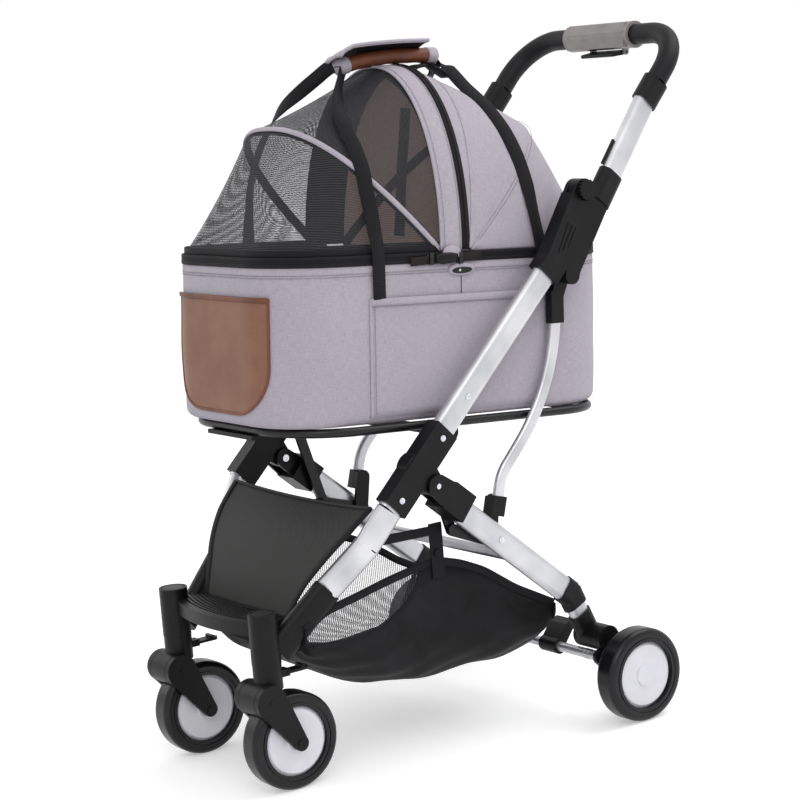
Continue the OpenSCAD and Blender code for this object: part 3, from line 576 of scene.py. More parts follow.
def footrest_weave(name, dark, light, thread=0.0030):
    """Vinyl-coated sling mesh: thick charcoal strands over and under, with paler strands showing between."""
    material, tree, shader = new_material(name, {"Roughness": 0.6, "Specular IOR Level": 0.2})
    coords = cut_coords(tree)
    threads = weave(tree, coords, thread)
    across, along = axes(tree, coords)[:2]
    diagonal = waves(tree, math_node(tree, "ADD", across, along), thread)
    tone = math_node(tree, "ADD", scaled(tree, threads, 0.6), scaled(tree, diagonal, 0.4))
    toned(tree, shader, tone, -0.7, 0.9, dark, light)
    bumped(tree, shader, tone, 0.5, 0.0006)
    return material


def crumpled_nylon(name, dark, light):
    """Thin nylon cloth: soft creases over a fine weave, their ridges painted paler as a painted highlight."""
    material, tree, shader = new_material(name, {"Roughness": 0.55, "Specular IOR Level": 0.16})
    coords = cut_coords(tree)
    crease = noise(tree, coords, 16.0, 5.0, distortion=0.8)
    # painted highlight: the colour runs paler where the creases rise
    toned(tree, shader, crease, 0.35, 0.7, dark, light)
    height = math_node(tree, "ADD", crease, scaled(tree, weave(tree, coords, 0.0016), 0.03))
    bumped(tree, shader, height, 0.5, 0.003)
    return material


def make_materials():
    """Every finish, by the name its pieces ask for."""
    tones = bpy.context.scene.stroller_colours
    return {
        "canvas": heather_cloth("heathered polyester canvas", tones.canvas, tones.canvas_light),
        # the lining's glow is painted light, an emission standing in for daylight through the cloth
        "lining": heather_cloth("brushed polyester lining", "#806E66", "#9A877D", painted_glow=0.32),
        "net": open_net("warp-knitted polyester net", "#1B1B1E", "#46464C", opening=0.32),
        "bag_net": open_net("coarse basket net", "#1E1E21", "#3E3E43", opening=0.18, cell=0.0042),
        "webbing": ribbed_webbing("polypropylene webbing", "#0F0F11", "#1E1E21"),
        "tape": ribbed_webbing("nylon zip tape", "#0F0F11", "#1F1E22", rib=0.0016),
        "binding": ribbed_webbing("woven cotton binding", "#1C1817", "#2B2523", rib=0.0012),
        "leather": grained_leather("pebbled brown leather", tones.leather, tones.leather_dark),
        "leather_edge": grained_leather("folded leather edge", "#834930", "#5A3221"),
        "tube": satin_aluminium("satin anodised aluminium", "#B9BABF", "#DADADC"),
        "nylon": moulded_plastic("glass-filled nylon", "#0B0B0D", "#151517", 0.40),
        "coated": moulded_plastic("powder-coated steel", "#0B0B0D", "#131315", 0.34, texture=0.0014,
                                  shine=0.35),
        "console": moulded_plastic("grey painted polycarbonate", "#7E7B79", "#918D8A", 0.38, shine=0.4),
        "foam": moulded_plastic("grained handlebar foam", "#0F0F12", "#1A1A1D", 0.5, texture=0.0018,
                                strength=0.3),
        "tyre": moulded_plastic("glossy polyurethane tyre", "#0F0F12", "#18181B", 0.26, strength=0.04,
                                shine=0.3),
        "disc": moulded_plastic("pale moulded wheel disc", "#E2E2E8", "#EAEAF0", 0.4, strength=0.04,
                                shine=0.3),
        "rivet": zinc_steel("zinc-plated steel", "#B4B7BE", "#E4E6EA"),
        "footrest": footrest_weave("coated mesh weave", "#232322", "#424140"),
        # the paler of the basket nylon's two tones is painted highlight on its creases
        "bag": crumpled_nylon("crumpled basket nylon", "#0F0E10", "#1C1B1E"),
        "thread": moulded_plastic("spun polyester thread", "#8B8590", "#9C96A1", 0.8),
        "dark_thread": moulded_plastic("dark polyester thread", "#2A2A2E", "#3A3A3F", 0.8),
    }


FINISH = {}


def finish(name):
    """The material of a finish; all are made when the first is asked for."""
    if not FINISH:
        FINISH.update(make_materials())
    return FINISH[name]


# ---------- settings ----------
class StrollerSizes(bpy.types.PropertyGroup):
    """Sizes that a maker would change."""
    strap_width: bpy.props.FloatProperty(
        name="Strap width", description="Width of the carry straps' webbing", default=0.021,
        subtype="DISTANCE", unit="LENGTH")


class StrollerColours(bpy.types.PropertyGroup):
    """Colours that a maker would change, as sRGB hex codes."""
    canvas: bpy.props.StringProperty(
        name="Canvas", description="Darker yarn of the carrier's cloth", default="#A59EA9")
    canvas_light: bpy.props.StringProperty(
        name="Canvas light", description="Paler yarn of the carrier's cloth", default="#BBB4BF")
    leather: bpy.props.StringProperty(
        name="Leather", description="Pocket flap and handle wrap", default="#8C634D")
    leather_dark: bpy.props.StringProperty(
        name="Leather grain", description="Valleys of the leather's grain", default="#7A523F")


class OBJECT_OT_frame_finishes(bpy.types.Operator):
    """Gives every rigid part its real finish"""
    bl_idname = "stroller.frame_finishes"
    bl_label = "Frame finishes"

    def execute(self, context):
        by_slot = {
            "tube_aluminium": "tube", "black_nylon": "nylon", "rivet_steel": "rivet",
            "black_coated_steel": "coated", "grip_foam": "foam", "console_grey": "console",
            "tyre_black": "tyre", "disc_grey": "disc", "webbing": "webbing", "zip_black": "tape",
            "brown_leather": "leather", "canopy_net": "net", "binding_black": "webbing",
            "carrier_cloth": "canvas", "lining_cloth": "lining", "footrest_mesh": "footrest",
            "basket_cloth": "bag",
        }
        for entry in frame["record"]["subparts"]:
            node = NODES[entry["node"]]
            node.data.materials.clear()
            node.data.materials.append(finish(by_slot[entry["material_slot"]]))
        return {"FINISHED"}


# ---------- carrier ----------
def carrier_walls():
    """The fabric tub: a padded wall with a rolled foot, a folded top hem and a lined inside."""
    count, inner, foot_r = 260, 8, 0.014
    s = np.linspace(0, ROUND, count, endpoint=False)
    foot = np.radians([0, 22, 45, 67, 90])
    rows = [(foot_r * (1 - math.cos(a)), -foot_r * (1 - math.sin(a))) for a in foot]
    rows += [(z, 0.0) for z in np.linspace(foot_r, WALL_H - 0.012, 14)[1:]]
    rows += [(WALL_H - down, off) for down, off in
             ((0.010, 0.0006), (0.001, 0.0004), (0, -0.001), (0, -0.005), (0.002, -0.0075))]
    rows += [(z, -0.0078) for z in np.linspace(WALL_H - 0.02, 0.012, inner)]
    grid = np.stack([on_wall(s, z, off) for z, off in rows])
    last = len(rows) - 1
    uv = np.stack(np.broadcast_arrays(s[None, :], run_of(grid[:, 0])[:, None]), -1)
    lined = [i // count > last - inner for i in range(last * count)] + [False, True]
    return mesh_piece("carrier_tub", to_world(grid), tube_faces(len(rows), count),
                      [finish("canvas"), finish("lining")], lined, uv)


POCKET_FRONT, POCKET_REAR = -0.163, 0.150
POCKET_TOP, POCKET_LOW = 0.176, 0.010
POCKET_GAPE, GAPE_RUN = 0.0030, 0.05


def side_pocket(side):
    """A flat open pocket on the carrier's side with a folded top hem and a bound front edge."""
    s0, s1 = side_length(POCKET_FRONT, side), side_length(POCKET_REAR, side)

    def gape(s):
        return POCKET_GAPE * np.clip(np.minimum(np.abs(s - s0), np.abs(s1 - s)) / GAPE_RUN, 0, 1)

    ss, zz = np.meshgrid(np.linspace(s0, s1, 40), np.linspace(POCKET_LOW, POCKET_TOP, 16))
    grid = on_wall(ss, zz, 0.0012 + gape(ss) * np.clip(zz / POCKET_TOP, 0, 1) ** 2)
    grid = in_world(grid[:, ::side])
    panel = cloth("side_pocket_" + ("right" if side > 0 else "left"), grid, ["canvas"], 0.0008,
                  np.stack([ss, zz], -1))
    placed(panel, "carrier")
    hem_s = np.linspace(s0, s1, 60)
    hem_lift = 0.0026 + gape(hem_s)
    rise = np.linspace(POCKET_LOW, POCKET_TOP + 0.0005, 30)
    trim = Trim()
    trim.strap(wall_path(hem_s, POCKET_TOP - 0.004, hem_lift - 0.0004), 0.011, 0.0026, "canvas")
    trim.strap(wall_path(np.full(30, s0), rise, 0.0012), 0.005, 0.0028, "canvas")
    trim.stitches(wall_path(hem_s, POCKET_TOP - 0.009, hem_lift + 0.0012))
    trim.stitches(wall_path(np.full(30, s0 + 0.006 * side), rise, 0.0024))
    hem = placed(trim.join(panel.name + "_hem"), "carrier")
    declare_sheet(grid)


def floor_pad():
    """The quilted board on the carrier's floor: crowned, with an upright edge."""
    count, rings = 120, 14
    base = on_wall(np.linspace(0, ROUND, count, endpoint=False), 0.0, -0.0095) * [1, 1, 0]
    rows = [base + [0, 0, 0.006]]
    for i in range(rings):
        share = 1 - i / rings
        ring = base * share
        quilt = 0.0006 * np.sin(ring[:, 0] / 0.011) * np.sin(ring[:, 1] / 0.013) * (1 - share ** 6)
        ring[:, 2] = 0.0135 + 0.006 * (1 - share ** 4) + quilt
        rows.append(ring)
    grid = np.stack(rows)
    pad = mesh_piece("floor_pad", to_world(grid), tube_faces(rings + 1, count), [finish("lining")],
                     uv=grid[..., :2])
    placed(pad, "carrier", ["carrier_floor"])


class OBJECT_OT_carrier(bpy.types.Operator):
    """Sews the carrier's fabric tub with its side pockets and floor pad"""
    bl_idname = "stroller.carrier"
    bl_label = "Carrier"

    def execute(self, context):
        tub = placed(carrier_walls(), "carrier", ["carrier_body"])
        hem = Trim()
        for down in (0.011, 0.0145):
            hem.stitches(wall_path(np.linspace(0, ROUND, 500), WALL_H - down, 0.0008))
        placed(hem.join("rim_stitches"), "carrier")
        side_pocket(1)
        side_pocket(-1)
        floor_pad()
        return {"FINISHED"}


ZIP_MIDDLE, ZIP_PULL_AT = WALL_H + 0.0070, -0.060
TAPE_W, TAPE_T, COIL_R = 0.0062, 0.0030, 0.0019


class OBJECT_OT_zip_band(bpy.types.Operator):
    """Lays the zip round the carrier's rim, with its tapes, coil and pullers"""
    bl_idname = "stroller.zip_band"
    bl_label = "Zip band"

    def execute(self, context):
        s = np.linspace(0, ROUND, 420, endpoint=False)
        band = Trim()
        for z, off in ((ZIP_MIDDLE - 0.0042, 0.0008), (ZIP_MIDDLE + 0.0042, 0.0006)):
            band.strap(wall_path(s, z, off), TAPE_W, TAPE_T, "tape", closed=True)
        band.sweep(wall_path(s, ZIP_MIDDLE, 0.0004), circle_section(COIL_R, 8), "tape", closed=True)
        for side in (1, -1):
            at = side_length(ZIP_PULL_AT, side)
            band.strap(wall_path([at - 0.006, at, at + 0.006], ZIP_MIDDLE, 0.0030), 0.009, 0.0035, "coated")
            pull = np.linspace(at + 0.004, at + 0.034, 8)
            band.strap(wall_path(pull, ZIP_MIDDLE - 0.0025, 0.0042), 0.006, 0.0016, "webbing")
        placed(band.join("zip_round_rim"), "carrier", ["zipper_band"])
        return {"FINISHED"}


FLAP_HALF, FLAP_TOP, FLAP_LOW, FLAP_R = 0.118, 0.182, 0.018, 0.070


def flap_half_width(z):
    """Half the pocket flap's width at a height: straight above, a round corner below."""
    drop = np.clip(FLAP_LOW + FLAP_R - z, 0, FLAP_R)
    return FLAP_HALF - FLAP_R + np.sqrt(np.clip(FLAP_R ** 2 - drop ** 2, 0, None))


def flap_rim():
    """The flap's free edge from its top right corner, round both lower corners, to its top left corner."""
    angle = np.linspace(0, np.pi / 2, 24)
    straight, bend = FLAP_HALF - FLAP_R, FLAP_LOW + FLAP_R
    corner_s, corner_z = straight + FLAP_R * np.cos(angle), bend - FLAP_R * np.sin(angle)
    s = np.concatenate([[FLAP_HALF] * 14, corner_s, np.linspace(straight, -straight, 18),
                        -corner_s[::-1], [-FLAP_HALF] * 14])
    z = np.concatenate([np.linspace(FLAP_TOP, bend, 14), corner_z, [FLAP_LOW] * 18,
                        corner_z[::-1], np.linspace(bend, FLAP_TOP, 14)])
    keep = np.concatenate([[True], np.hypot(np.diff(s), np.diff(z)) > 1e-5])
    return s[keep], z[keep]


class OBJECT_OT_pocket_flap(bpy.types.Operator):
    """Cuts the leather flap over the front pocket, with its folded edge and top strip"""
    bl_idname = "stroller.pocket_flap"
    bl_label = "Pocket flap"

    def execute(self, context):
        z = FLAP_LOW + (FLAP_TOP - FLAP_LOW) * (1 - np.cos(np.linspace(0.02, 1, 34) * np.pi / 2))
        half = flap_half_width(z)[:, None]
        ss = half * np.sin(np.linspace(-1, 1, 49) * np.pi / 2)
        zz = np.broadcast_to(z[:, None], ss.shape)
        edge = np.clip(np.minimum(half - np.abs(ss), zz - FLAP_LOW), 0, None)
        grid = in_world(on_wall(ss, zz, 0.0014 + 0.0016 * (1 - np.exp(-edge / 0.010))))
        panel = cloth("leather_flap", grid, ["leather"], 0.0012, np.stack([ss, zz], -1))
        placed(panel, "flap", ["pocket_flap"])
        trim = Trim()
        trim.strap(wall_path(*flap_rim(), 0.0018), 0.0042, 0.0034, "leather_edge")
        top = np.linspace(-FLAP_HALF, FLAP_HALF, 40)
        trim.strap(wall_path(top, FLAP_TOP - 0.002, 0.0036), 0.0072, 0.0046, "leather_edge")
        bound = placed(trim.join("leather_flap_edge"), "flap")
        declare_sheet(grid)
        return {"FINISHED"}


# ---------- canopy ----------
class OBJECT_OT_net_canopy(bpy.types.Operator):
    """Stretches the net over the front bow as one curved sheet, bound at its rim"""
    bl_idname = "stroller.net_canopy"
    bl_label = "Net canopy"

    def execute(self, context):
        across = np.linspace(178.5, 1.5, 75)
        rim = rim_line(True, across, FRONT_BOW[0])
        bow = hoop_line(FRONT_BOW, across)
        hoop = hoop_line(shifted(HOOP_FRONT, 0.004), across)
        share = np.linspace(0, 1, 18)
        grid = in_world(np.concatenate([stretched(rim, bow, share, -0.003),
                                        stretched(bow, hoop, share, -0.004)[1:]]))
        net = cloth("net_canopy", grid, ["net"], 0.0003, cut_of(grid))
        edge = rim_line(True, np.linspace(178, 2, 120), FRONT_BOW[0]) + [0, 0, 0.004]
        x, v = edge[:, 0], edge[:, 1] - FRONT_BOW[0]
        trim = Trim()
        trim.strap((to_world(edge), np.stack([x, v * COS, -v * SIN], 1)), 0.012, 0.0018, "tape")
        binding = placed(trim.join("net_binding"), "carrier")
        placed(net, "hoop", ["canopy_mesh"], sewn=0.24)
        declare_sheet(grid)
        return {"FINISHED"}


ZIP_TAPE = strap_section(0.0068, 0.0028)
HOOP_SEWN = 0.05


class OBJECT_OT_bows(bpy.types.Operator):
    """Pads the thin front bow and the wide cloth band of the main hoop"""
    bl_idname = "stroller.bows"
    bl_label = "Bows and band"

    def execute(self, context):
        piping = Trim()
        piping.sweep(hoop_path(FRONT_BOW, 0.0004), circle_section(0.0042, 10, 0.5), "canvas")
        piping.strap(hoop_path(FRONT_BOW, -0.0040), 0.014, 0.003, "webbing")
        placed(piping.join("front_bow_piping"), "bow", ["canopy_bow"])

        across = np.linspace(179.2, 0.8, 90)
        front, rear = hoop_line(HOOP_FRONT, across, 0.0005), hoop_line(HOOP_REAR, across, 0.0005)
        grid = in_world(stretched(front, rear, np.linspace(0, 1, 12), 0.0022))
        band = cloth("hoop_band", grid, ["canvas", "webbing"], 0.0026, cut_of(grid))
        placed(band, "hoop", ["canopy_hoop"], sewn=HOOP_SEWN)

        trim = Trim()
        trim.sweep(hoop_path(HOOP_FRONT, 0.0004), circle_section(0.0024, 8, 0.8), "canvas")
        zip_line, zip_out = hoop_path(HOOP_REAR, 0.0012)
        trim.sweep((zip_line + [0, 0.0030, 0], zip_out), ZIP_TAPE, "tape")
        inner = hoop_path(shifted(HOOP_FRONT, 0.017), -0.0085)
        wide = np.interp(np.linspace(1, 179, len(inner[0])), (0, 62, 108, 180), (0.36, 0.36, 1, 0.96))
        trim.strap(inner, 0.074, 0.0030, "webbing", taper=wide)
        trim.stitches(hoop_path(shifted(HOOP_FRONT, 0.0052), 0.0022))
        trim.stitches(hoop_path(shifted(HOOP_REAR, -0.0045), 0.0020))
        edges = placed(trim.join("hoop_band_edges"), "hoop", sewn=HOOP_SEWN)
        declare_sheet(grid)
        return {"FINISHED"}


# painted shadow: a dark webbing strip down the inside of the rear hood, on the right, standing in for the
# rear carry strap's shadow seen through the cloth: across, along and height
HOOD_STRAP_SHADOW = [(0.077, 0.079, 0.452), (0.112, 0.101, 0.413), (0.137, 0.114, 0.367), (0.150, 0.120, 0.321),
             (0.156, 0.122, 0.282), (0.158, 0.121, 0.250)]
HOOD_BELLY = 0.004


class OBJECT_OT_rear_hood(bpy.types.Operator):
    """Sews the rear hood as one curved sheet with its bow seam"""
    bl_idname = "stroller.rear_hood"
    bl_label = "Rear hood"

    def execute(self, context):
        across = np.linspace(178.8, 1.2, 90)
        start = hoop_line(shifted(HOOP_REAR, 0.009), across)
        bow = hoop_line(REAR_BOW, across)
        rim = rim_line(False, across, REAR_BOW[0])
        share = np.linspace(0, 1, 22)
        grid = np.concatenate([stretched(start, bow, share, HOOD_BELLY),
                               stretched(bow, rim, share, 0.002)[1:]])
        crease = 0.0006 * np.sin(np.radians(across) * 22) * np.sin(np.linspace(0, 12, len(grid)))[:, None]
        grid = in_world(grid + outward_of(grid) * crease[..., None])
        hood = cloth("rear_hood_cloth", grid, ["canvas", "lining"], 0.0026, cut_of(grid))
        placed(hood, "carrier", ["rear_hood"])
        trim = Trim()
        trim.sweep(hoop_path(shifted(HOOP_REAR, 0.0098), 0.0012), ZIP_TAPE, "tape")
        trim.sweep(hoop_path(shifted(HOOP_REAR, 0.0064), 0.0022), circle_section(COIL_R, 8), "tape")
        for step in (-0.0035, 0.0035):
            trim.stitches(hoop_path(shifted(REAR_BOW, step), 0.0006, 3, 177, 90))
        trim.strap(hoop_path(REAR_BOW, -0.0042), 0.015, 0.0030, "webbing")
        # painted shadow: a dark strip inside the hood on each side, where the rear carry strap's shadow shows
        # through the cloth
        for side in (1, -1):
            line = smooth_line(np.array(HOOD_STRAP_SHADOW) * [side, 1, 1], 30)
            trim.strap(outward_path(line - outward_of(line) * 0.006), 0.016, 0.0016, "webbing")
        seam = stretched(start, bow, [0.16], HOOD_BELLY)[0]
        trim.stitches(outward_path(seam + outward_of(seam) * 0.0008))
        seams_and_strap_shadows = placed(trim.join("rear_hood_seams_and_strap_shadows"), "carrier")
        declare_sheet(grid)
        return {"FINISHED"}


# ---------- straps and handle ----------
# the handle's core: along and height
GRIP = [(-0.098, 0.504), (-0.050, 0.515), (-0.009, 0.5205), (0.035, 0.523), (0.076, 0.523)]
# each strap's course on the right, from the handle over the cloth to its foot: across, along and height
FRONT_LEFT = [(0, -0.088, 0.508), (0.015, -0.100, 0.505), (0.038, -0.112, 0.488), (0.057, -0.128, 0.469),
              (0.077, -0.142, 0.450), (0.094, -0.151, 0.429)]
FRONT_STRAP = [(0, -0.086, 0.505), (0.010, -0.098, 0.492), (0.028, -0.114, 0.475), (0.048, -0.130, 0.458),
               (0.070, -0.145, 0.441), (0.090, -0.152, 0.425), (0.107, -0.156, 0.408), (0.121, -0.156, 0.392),
               (0.133, -0.156, 0.375), (0.144, -0.156, 0.355), (0.154, -0.157, 0.325), (0.160, -0.155, 0.300),
               (0.165, -0.154, 0.278), (0.1705, -0.151, 0.245), (0.1710, -0.150, 0.210),
               (0.1705, -0.149, 0.176)]
REAR_STRAP = [(0, 0.078, 0.515), (0.010, 0.087, 0.509), (0.025, 0.090, 0.498), (0.050, 0.094, 0.477),
              (0.081, 0.096, 0.457), (0.105, 0.102, 0.436), (0.128, 0.110, 0.407), (0.146, 0.118, 0.371),
              (0.157, 0.127, 0.328), (0.164, 0.135, 0.281), (0.1685, 0.142, 0.241), (0.1705, 0.145, 0.211),
              (0.1705, 0.147, 0.176)]
# the loose webbing turns on its way down: where its face looks at the handle, from what height, and how
# far it turns, for the front and rear straps on the right (1) and the left (-1)
TURNED = {(True, 1): ((0.57, 0.82, 0.10), 0.41, 0.8), (True, -1): ((0.82, -0.57, 0.15), 0.41, 1.0),
          (False, 1): ((0.75, -0.45, 0.30), 0.26, 0.75), (False, -1): ((-0.75, -0.45, 0.30), 0.26, 0.75)}


def middle_path(points, count, x=0.0):
    """A smooth line through places given as along and height, at one place across."""
    return to_world(np.insert(smooth_line(points, count), 0, x, axis=1))


def carry_strap(front, side):
    """One strap's course and the way that its face looks."""
    course = FRONT_STRAP if front else REAR_STRAP
    foot_v = course[-1][1]
    if front and side < 0:
        course = FRONT_LEFT + FRONT_STRAP[6:]
    path = smooth_line(np.array(course) * [side, 1, 1], 64)
    out = path - [0, foot_v * 0.35, DOME_Z - 0.03]
    dome = np.clip((path[:, 2] - DOME_Z - 0.01) / 0.06, 0, 1)[:, None]
    out = out / np.linalg.norm(out, axis=1)[:, None] * dome + np.array([side, 0, 0]) * (1 - dome)
    face, start, share = TURNED[front, side]
    turn = np.clip((path[:, 2] - start) / 0.07, 0, 1)[:, None] * share
    out = out * (1 - turn) + np.array(face) * turn
    top = np.clip((0.018 - np.abs(path[:, 0])) / 0.018, 0, 1)[:, None] * (not front)
    out = out * (1 - top) + np.array([0.25 * side, 1.0, 0.6]) * top
    return (to_world(path), to_world(path + out) - to_world(path)), foot_v


class OBJECT_OT_carry_straps(bpy.types.Operator):
    """Runs the carry straps over the canopy into the wrapped handle"""
    bl_idname = "stroller.carry_straps"
    bl_label = "Carry straps"

    def execute(self, context):
        webbing = Trim()
        for front in (True, False):
            for side in (1, -1):
                line, foot_v = carry_strap(front, side)
                webbing.strap(line, context.scene.stroller_sizes.strap_width, 0.0019, "webbing")
                foot = side_length(foot_v, side) + np.linspace(-0.008, 0.008, 8)
                for z in (0.180, 0.197):
                    webbing.stitches(wall_path(foot, z, 0.0056), "dark_thread")
        webbing.strap((middle_path(GRIP, 30), CARRIER_UP), 0.018, 0.0030, "webbing")
        placed(webbing.join("carry_webbing"), "carrier", ["carry_straps"])
        handle_wrap()
        zip_garage()
        return {"FINISHED"}


def zip_garage():
    """The folded webbing tab that covers the top of the hoop's zip, with its pinch."""
    course = [(0.018, 0.496), (0.030, 0.505), (0.052, 0.5075), (0.070, 0.502), (0.090, 0.492)]
    pinch = 1 - 0.45 * np.exp(-((smooth_line(course, 26)[:, 0] - 0.054) / 0.008) ** 2)
    knot = to_world([(x, 0.054 + 0.003 * math.sin(x * 90), 0.5095) for x in np.linspace(-0.004, 0.028, 9)])
    tab = Trim()
    tab.strap((middle_path(course, 26, 0.012), CARRIER_UP), 0.026, 0.0052, "webbing", taper=pinch)
    tab.sweep((knot, CARRIER_UP), circle_section(0.0052, 10, 0.6), "tape",
              taper=[0.5, 0.9, 1, 1, 1, 1, 1, 0.9, 0.5])
    placed(tab.join("zip_top_tab"), "carrier")


def handle_wrap():
    """The leather wrap round the straps, its grey bound ends and the open fastening flap."""
    path, run = middle_path(GRIP, 44), smooth_line(GRIP, 44)[:, 0]
    wobble = 1 + 0.02 * np.sin(run / 0.009) + 0.015 * np.sin(run / 0.0041 + 1)
    wrap = Trim()
    wrap.sweep((path[3:-3], CARRIER_UP), circle_section(0.0125, 22, 0.90), "leather_edge", taper=wobble[3:-3])
    for end in (path[:5], path[-5:]):
        wrap.sweep((end, CARRIER_UP), circle_section(0.0136, 22, 0.92), "canvas")
    placed(wrap.join("leather_handle_wrap"), "carrier", ["handle_wrap"])
    t = np.linspace(0, 1, 10)[:, None]
    ridge = [(-0.108, 0.517), (-0.098, 0.5245), (-0.058, 0.5305), (0.000, 0.5355), (0.050, 0.5375)]
    v, z = smooth_line(ridge, 40).T[:, None]
    droop = 0.006 * np.clip((-0.085 - v) / 0.024, 0, 1)
    x = -0.014 + 0.046 * t + 0 * v
    rise = z - 0.006 + 0.013 * np.sin(t * np.pi / 2) - droop * t
    grid = in_world(np.stack(np.broadcast_arrays(x, v - 0.006 * t, rise), -1)[::-1])
    flap = cloth("fastening_flap", grid, ["canvas", "webbing"], 0.0036)
    placed(flap, "carrier")
    edges = Trim()
    for edge in (grid[0], grid[-1]):
        edges.sweep((edge, CARRIER_UP), circle_section(0.0030, 8, 0.8), "canvas")
    trim = placed(edges.join("fastening_flap_edge"), "carrier")
    declare_sheet(grid)


BLUNT = np.sqrt(1.02 - np.linspace(-1, 1, 14) ** 2)
# from and to along the side, from and to above the wall's top, distance off the wall, number of points,
# section, finish and taper
SIDE_FITTINGS = (
    (-0.095, 0.030, 0.002, 0.007, 0.0042, 20, strap_section(0.012, 0.0018), "binding", None),
    (-0.052, -0.014, 0.0045, 0.006, 0.0068, 8, strap_section(0.016, 0.0050), "nylon",
     [0.72, 0.9, 1, 1, 1, 0.94, 0.8, 0.66]),
    (-0.063, -0.057, 0.005, 0.005, 0.0064, 4, strap_section(0.017, 0.0040), "coated", None),
    (-0.011, -0.005, 0.005, 0.005, 0.0064, 4, strap_section(0.017, 0.0040), "coated", None),
    (-0.039, -0.008, 0.013, 0.013, 0.0058, 14, strap_section(0.020, 0.0036), "canvas", BLUNT * 0.9 + 0.1),
    (-0.027, 0.019, -0.012, -0.011, 0.0024, 14, strap_section(0.018, 0.0030), "canvas", BLUNT * 0.9 + 0.1),
    (-0.022, 0.014, -0.0135, -0.0125, 0.0036, 14, circle_section(0.0050, 12, 0.3), "coated", BLUNT),
    (-0.011, -0.007, -0.0130, -0.0130, 0.0052, 5, circle_section(0.0020, 12, 0.5), "rivet",
     [0.3, 0.9, 1, 0.9, 0.3]),
    (-0.004, -0.004, -0.022, -0.046, 0.0006, 8, circle_section(0.0006, 6), "dark_thread", None),
)


class OBJECT_OT_side_buckles(bpy.types.Operator):
    """Adds the hoop's side straps, buckles and snap tabs"""
    bl_idname = "stroller.side_buckles"
    bl_label = "Side buckles"

    def execute(self, context):
        fittings = Trim()
        for side in (1, -1):
            for v0, v1, z0, z1, off, count, section, finish_name, taper in SIDE_FITTINGS:
                s = [side_length(v, side) for v in np.linspace(v0, v1, count)]
                line = wall_path(s, WALL_H + np.linspace(z0, z1, count), off)
                fittings.sweep(line, section, finish_name, taper=taper)
        placed(fittings.join("side_fasteners"), "carrier", ["side_buckles"])
        return {"FINISHED"}


# ---------- frame cloths ----------
# the bag's top edge, its lowest line and the lower edge of its net window: places along, then heights
BAG_RIM = ((-0.336, -0.296, -0.243, -0.191, -0.143, -0.100, -0.059, -0.017, 0.040, 0.112),
           (0.226, 0.246, 0.256, 0.267, 0.275, 0.280, 0.268, 0.249, 0.210, 0.172))
BAG_FLOOR = ((-0.336, -0.317, -0.256, -0.187, -0.119, -0.039, 0.029, 0.081, 0.104, 0.112),
             (0.196, 0.168, 0.131, 0.100, 0.089, 0.086, 0.089, 0.098, 0.112, 0.146))
WINDOW = ((-0.336, -0.319, -0.264, -0.202, -0.158, -0.140, -0.128),
          (0.216, 0.200, 0.194, 0.201, 0.227, 0.246, 0.270))
FAR_WINDOW = ((-0.336, -0.319, -0.230, -0.120, -0.020, 0.040, 0.078),
              (0.216, 0.196, 0.136, 0.112, 0.116, 0.134, 0.190))
BAG_FULL = 0.55


class OBJECT_OT_storage_basket(bpy.types.Operator):
    """Hangs the sagging storage bag with its net side panels and bound rim"""
    bl_idname = "stroller.storage_basket"
    bl_label = "Storage basket"

    def execute(self, context):
        low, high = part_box("storage_basket")
        half = (high.x - low.x) / 2
        stations, girth = 90, 65
        y = np.linspace(low.y + 0.002, high.y - 0.002, stations)
        rim, floor = np.interp(y, *BAG_RIM), np.interp(y, *BAG_FLOOR)
        for _ in range(3):
            for heights in (rim, floor):
                heights[1:-1] = heights[1:-1] * 0.5 + (heights[2:] + heights[:-2]) * 0.25
        t, along = np.linspace(-1, 1, girth), y[:, None]
        drop = np.abs(np.cos(t * np.pi / 2)) ** BAG_FULL
        depth = (rim - floor)[:, None]
        crease = (0.0022 * np.sin(9 * t + along * 40) + 0.0016 * np.sin(23 * t - along * 70)) * drop
        x = (half - 0.001) * np.sign(t) * np.abs(np.sin(t * np.pi / 2)) ** BAG_FULL
        z = rim[:, None] - depth * drop + crease * np.minimum(1, depth / 0.05)
        grid = np.stack(np.broadcast_arrays(x, along, z), -1)
        uv = np.stack(np.broadcast_arrays(run_of(grid[stations // 2]), along - y[0]), -1)
        middle = (grid[:-1, :-1] + grid[1:, 1:]) / 2
        netted = np.zeros(middle.shape[:2], bool)
        for side, window in ((1, WINDOW), (-1, FAR_WINDOW)):
            netted |= (middle[..., 0] * side > half * 0.8) & (middle[..., 1] < window[0][-1]) & (
                middle[..., 2] > np.interp(middle[..., 1], *window))
        bag = mesh_piece("storage_bag", grid.reshape(-1, 3), grid_faces(stations, girth),
                         [finish("bag"), finish("bag_net")], netted.ravel(), uv)
        placed(thickened(bag, 0.0007), "frame", ["storage_basket"])
        trim = Trim()
        for side, edge in ((-1, grid[:, 0]), (1, grid[:, -1])):
            trim.strap((edge, [side, 0, 0]), 0.012, 0.0030, "webbing")
        for way, edge in ((-1, grid[0]), (1, grid[-1])):
            trim.strap((edge, [0, way, 0.2]), 0.010, 0.0026, "webbing")
        for side, window in ((1, WINDOW), (-1, FAR_WINDOW)):
            seam_y = np.linspace(window[0][1], window[0][-1], 40)
            seam_z = np.interp(seam_y, *window)
            top, deep = np.interp(seam_y, y, rim), np.interp(seam_y, y, floor)
            share = np.clip((top - seam_z) / (top - deep), 0, 0.98) ** (1 / BAG_FULL)
            seam_x = (half - 0.0004) * np.sqrt(1 - share ** 2) ** BAG_FULL
            trim.strap((np.stack([seam_x * side, seam_y, seam_z], 1), [side, 0, 0]), 0.008, 0.0022, "webbing")
        bound = placed(trim.join("storage_bag_rim"), "frame")
        declare_sheet(grid)
        return {"FINISHED"}


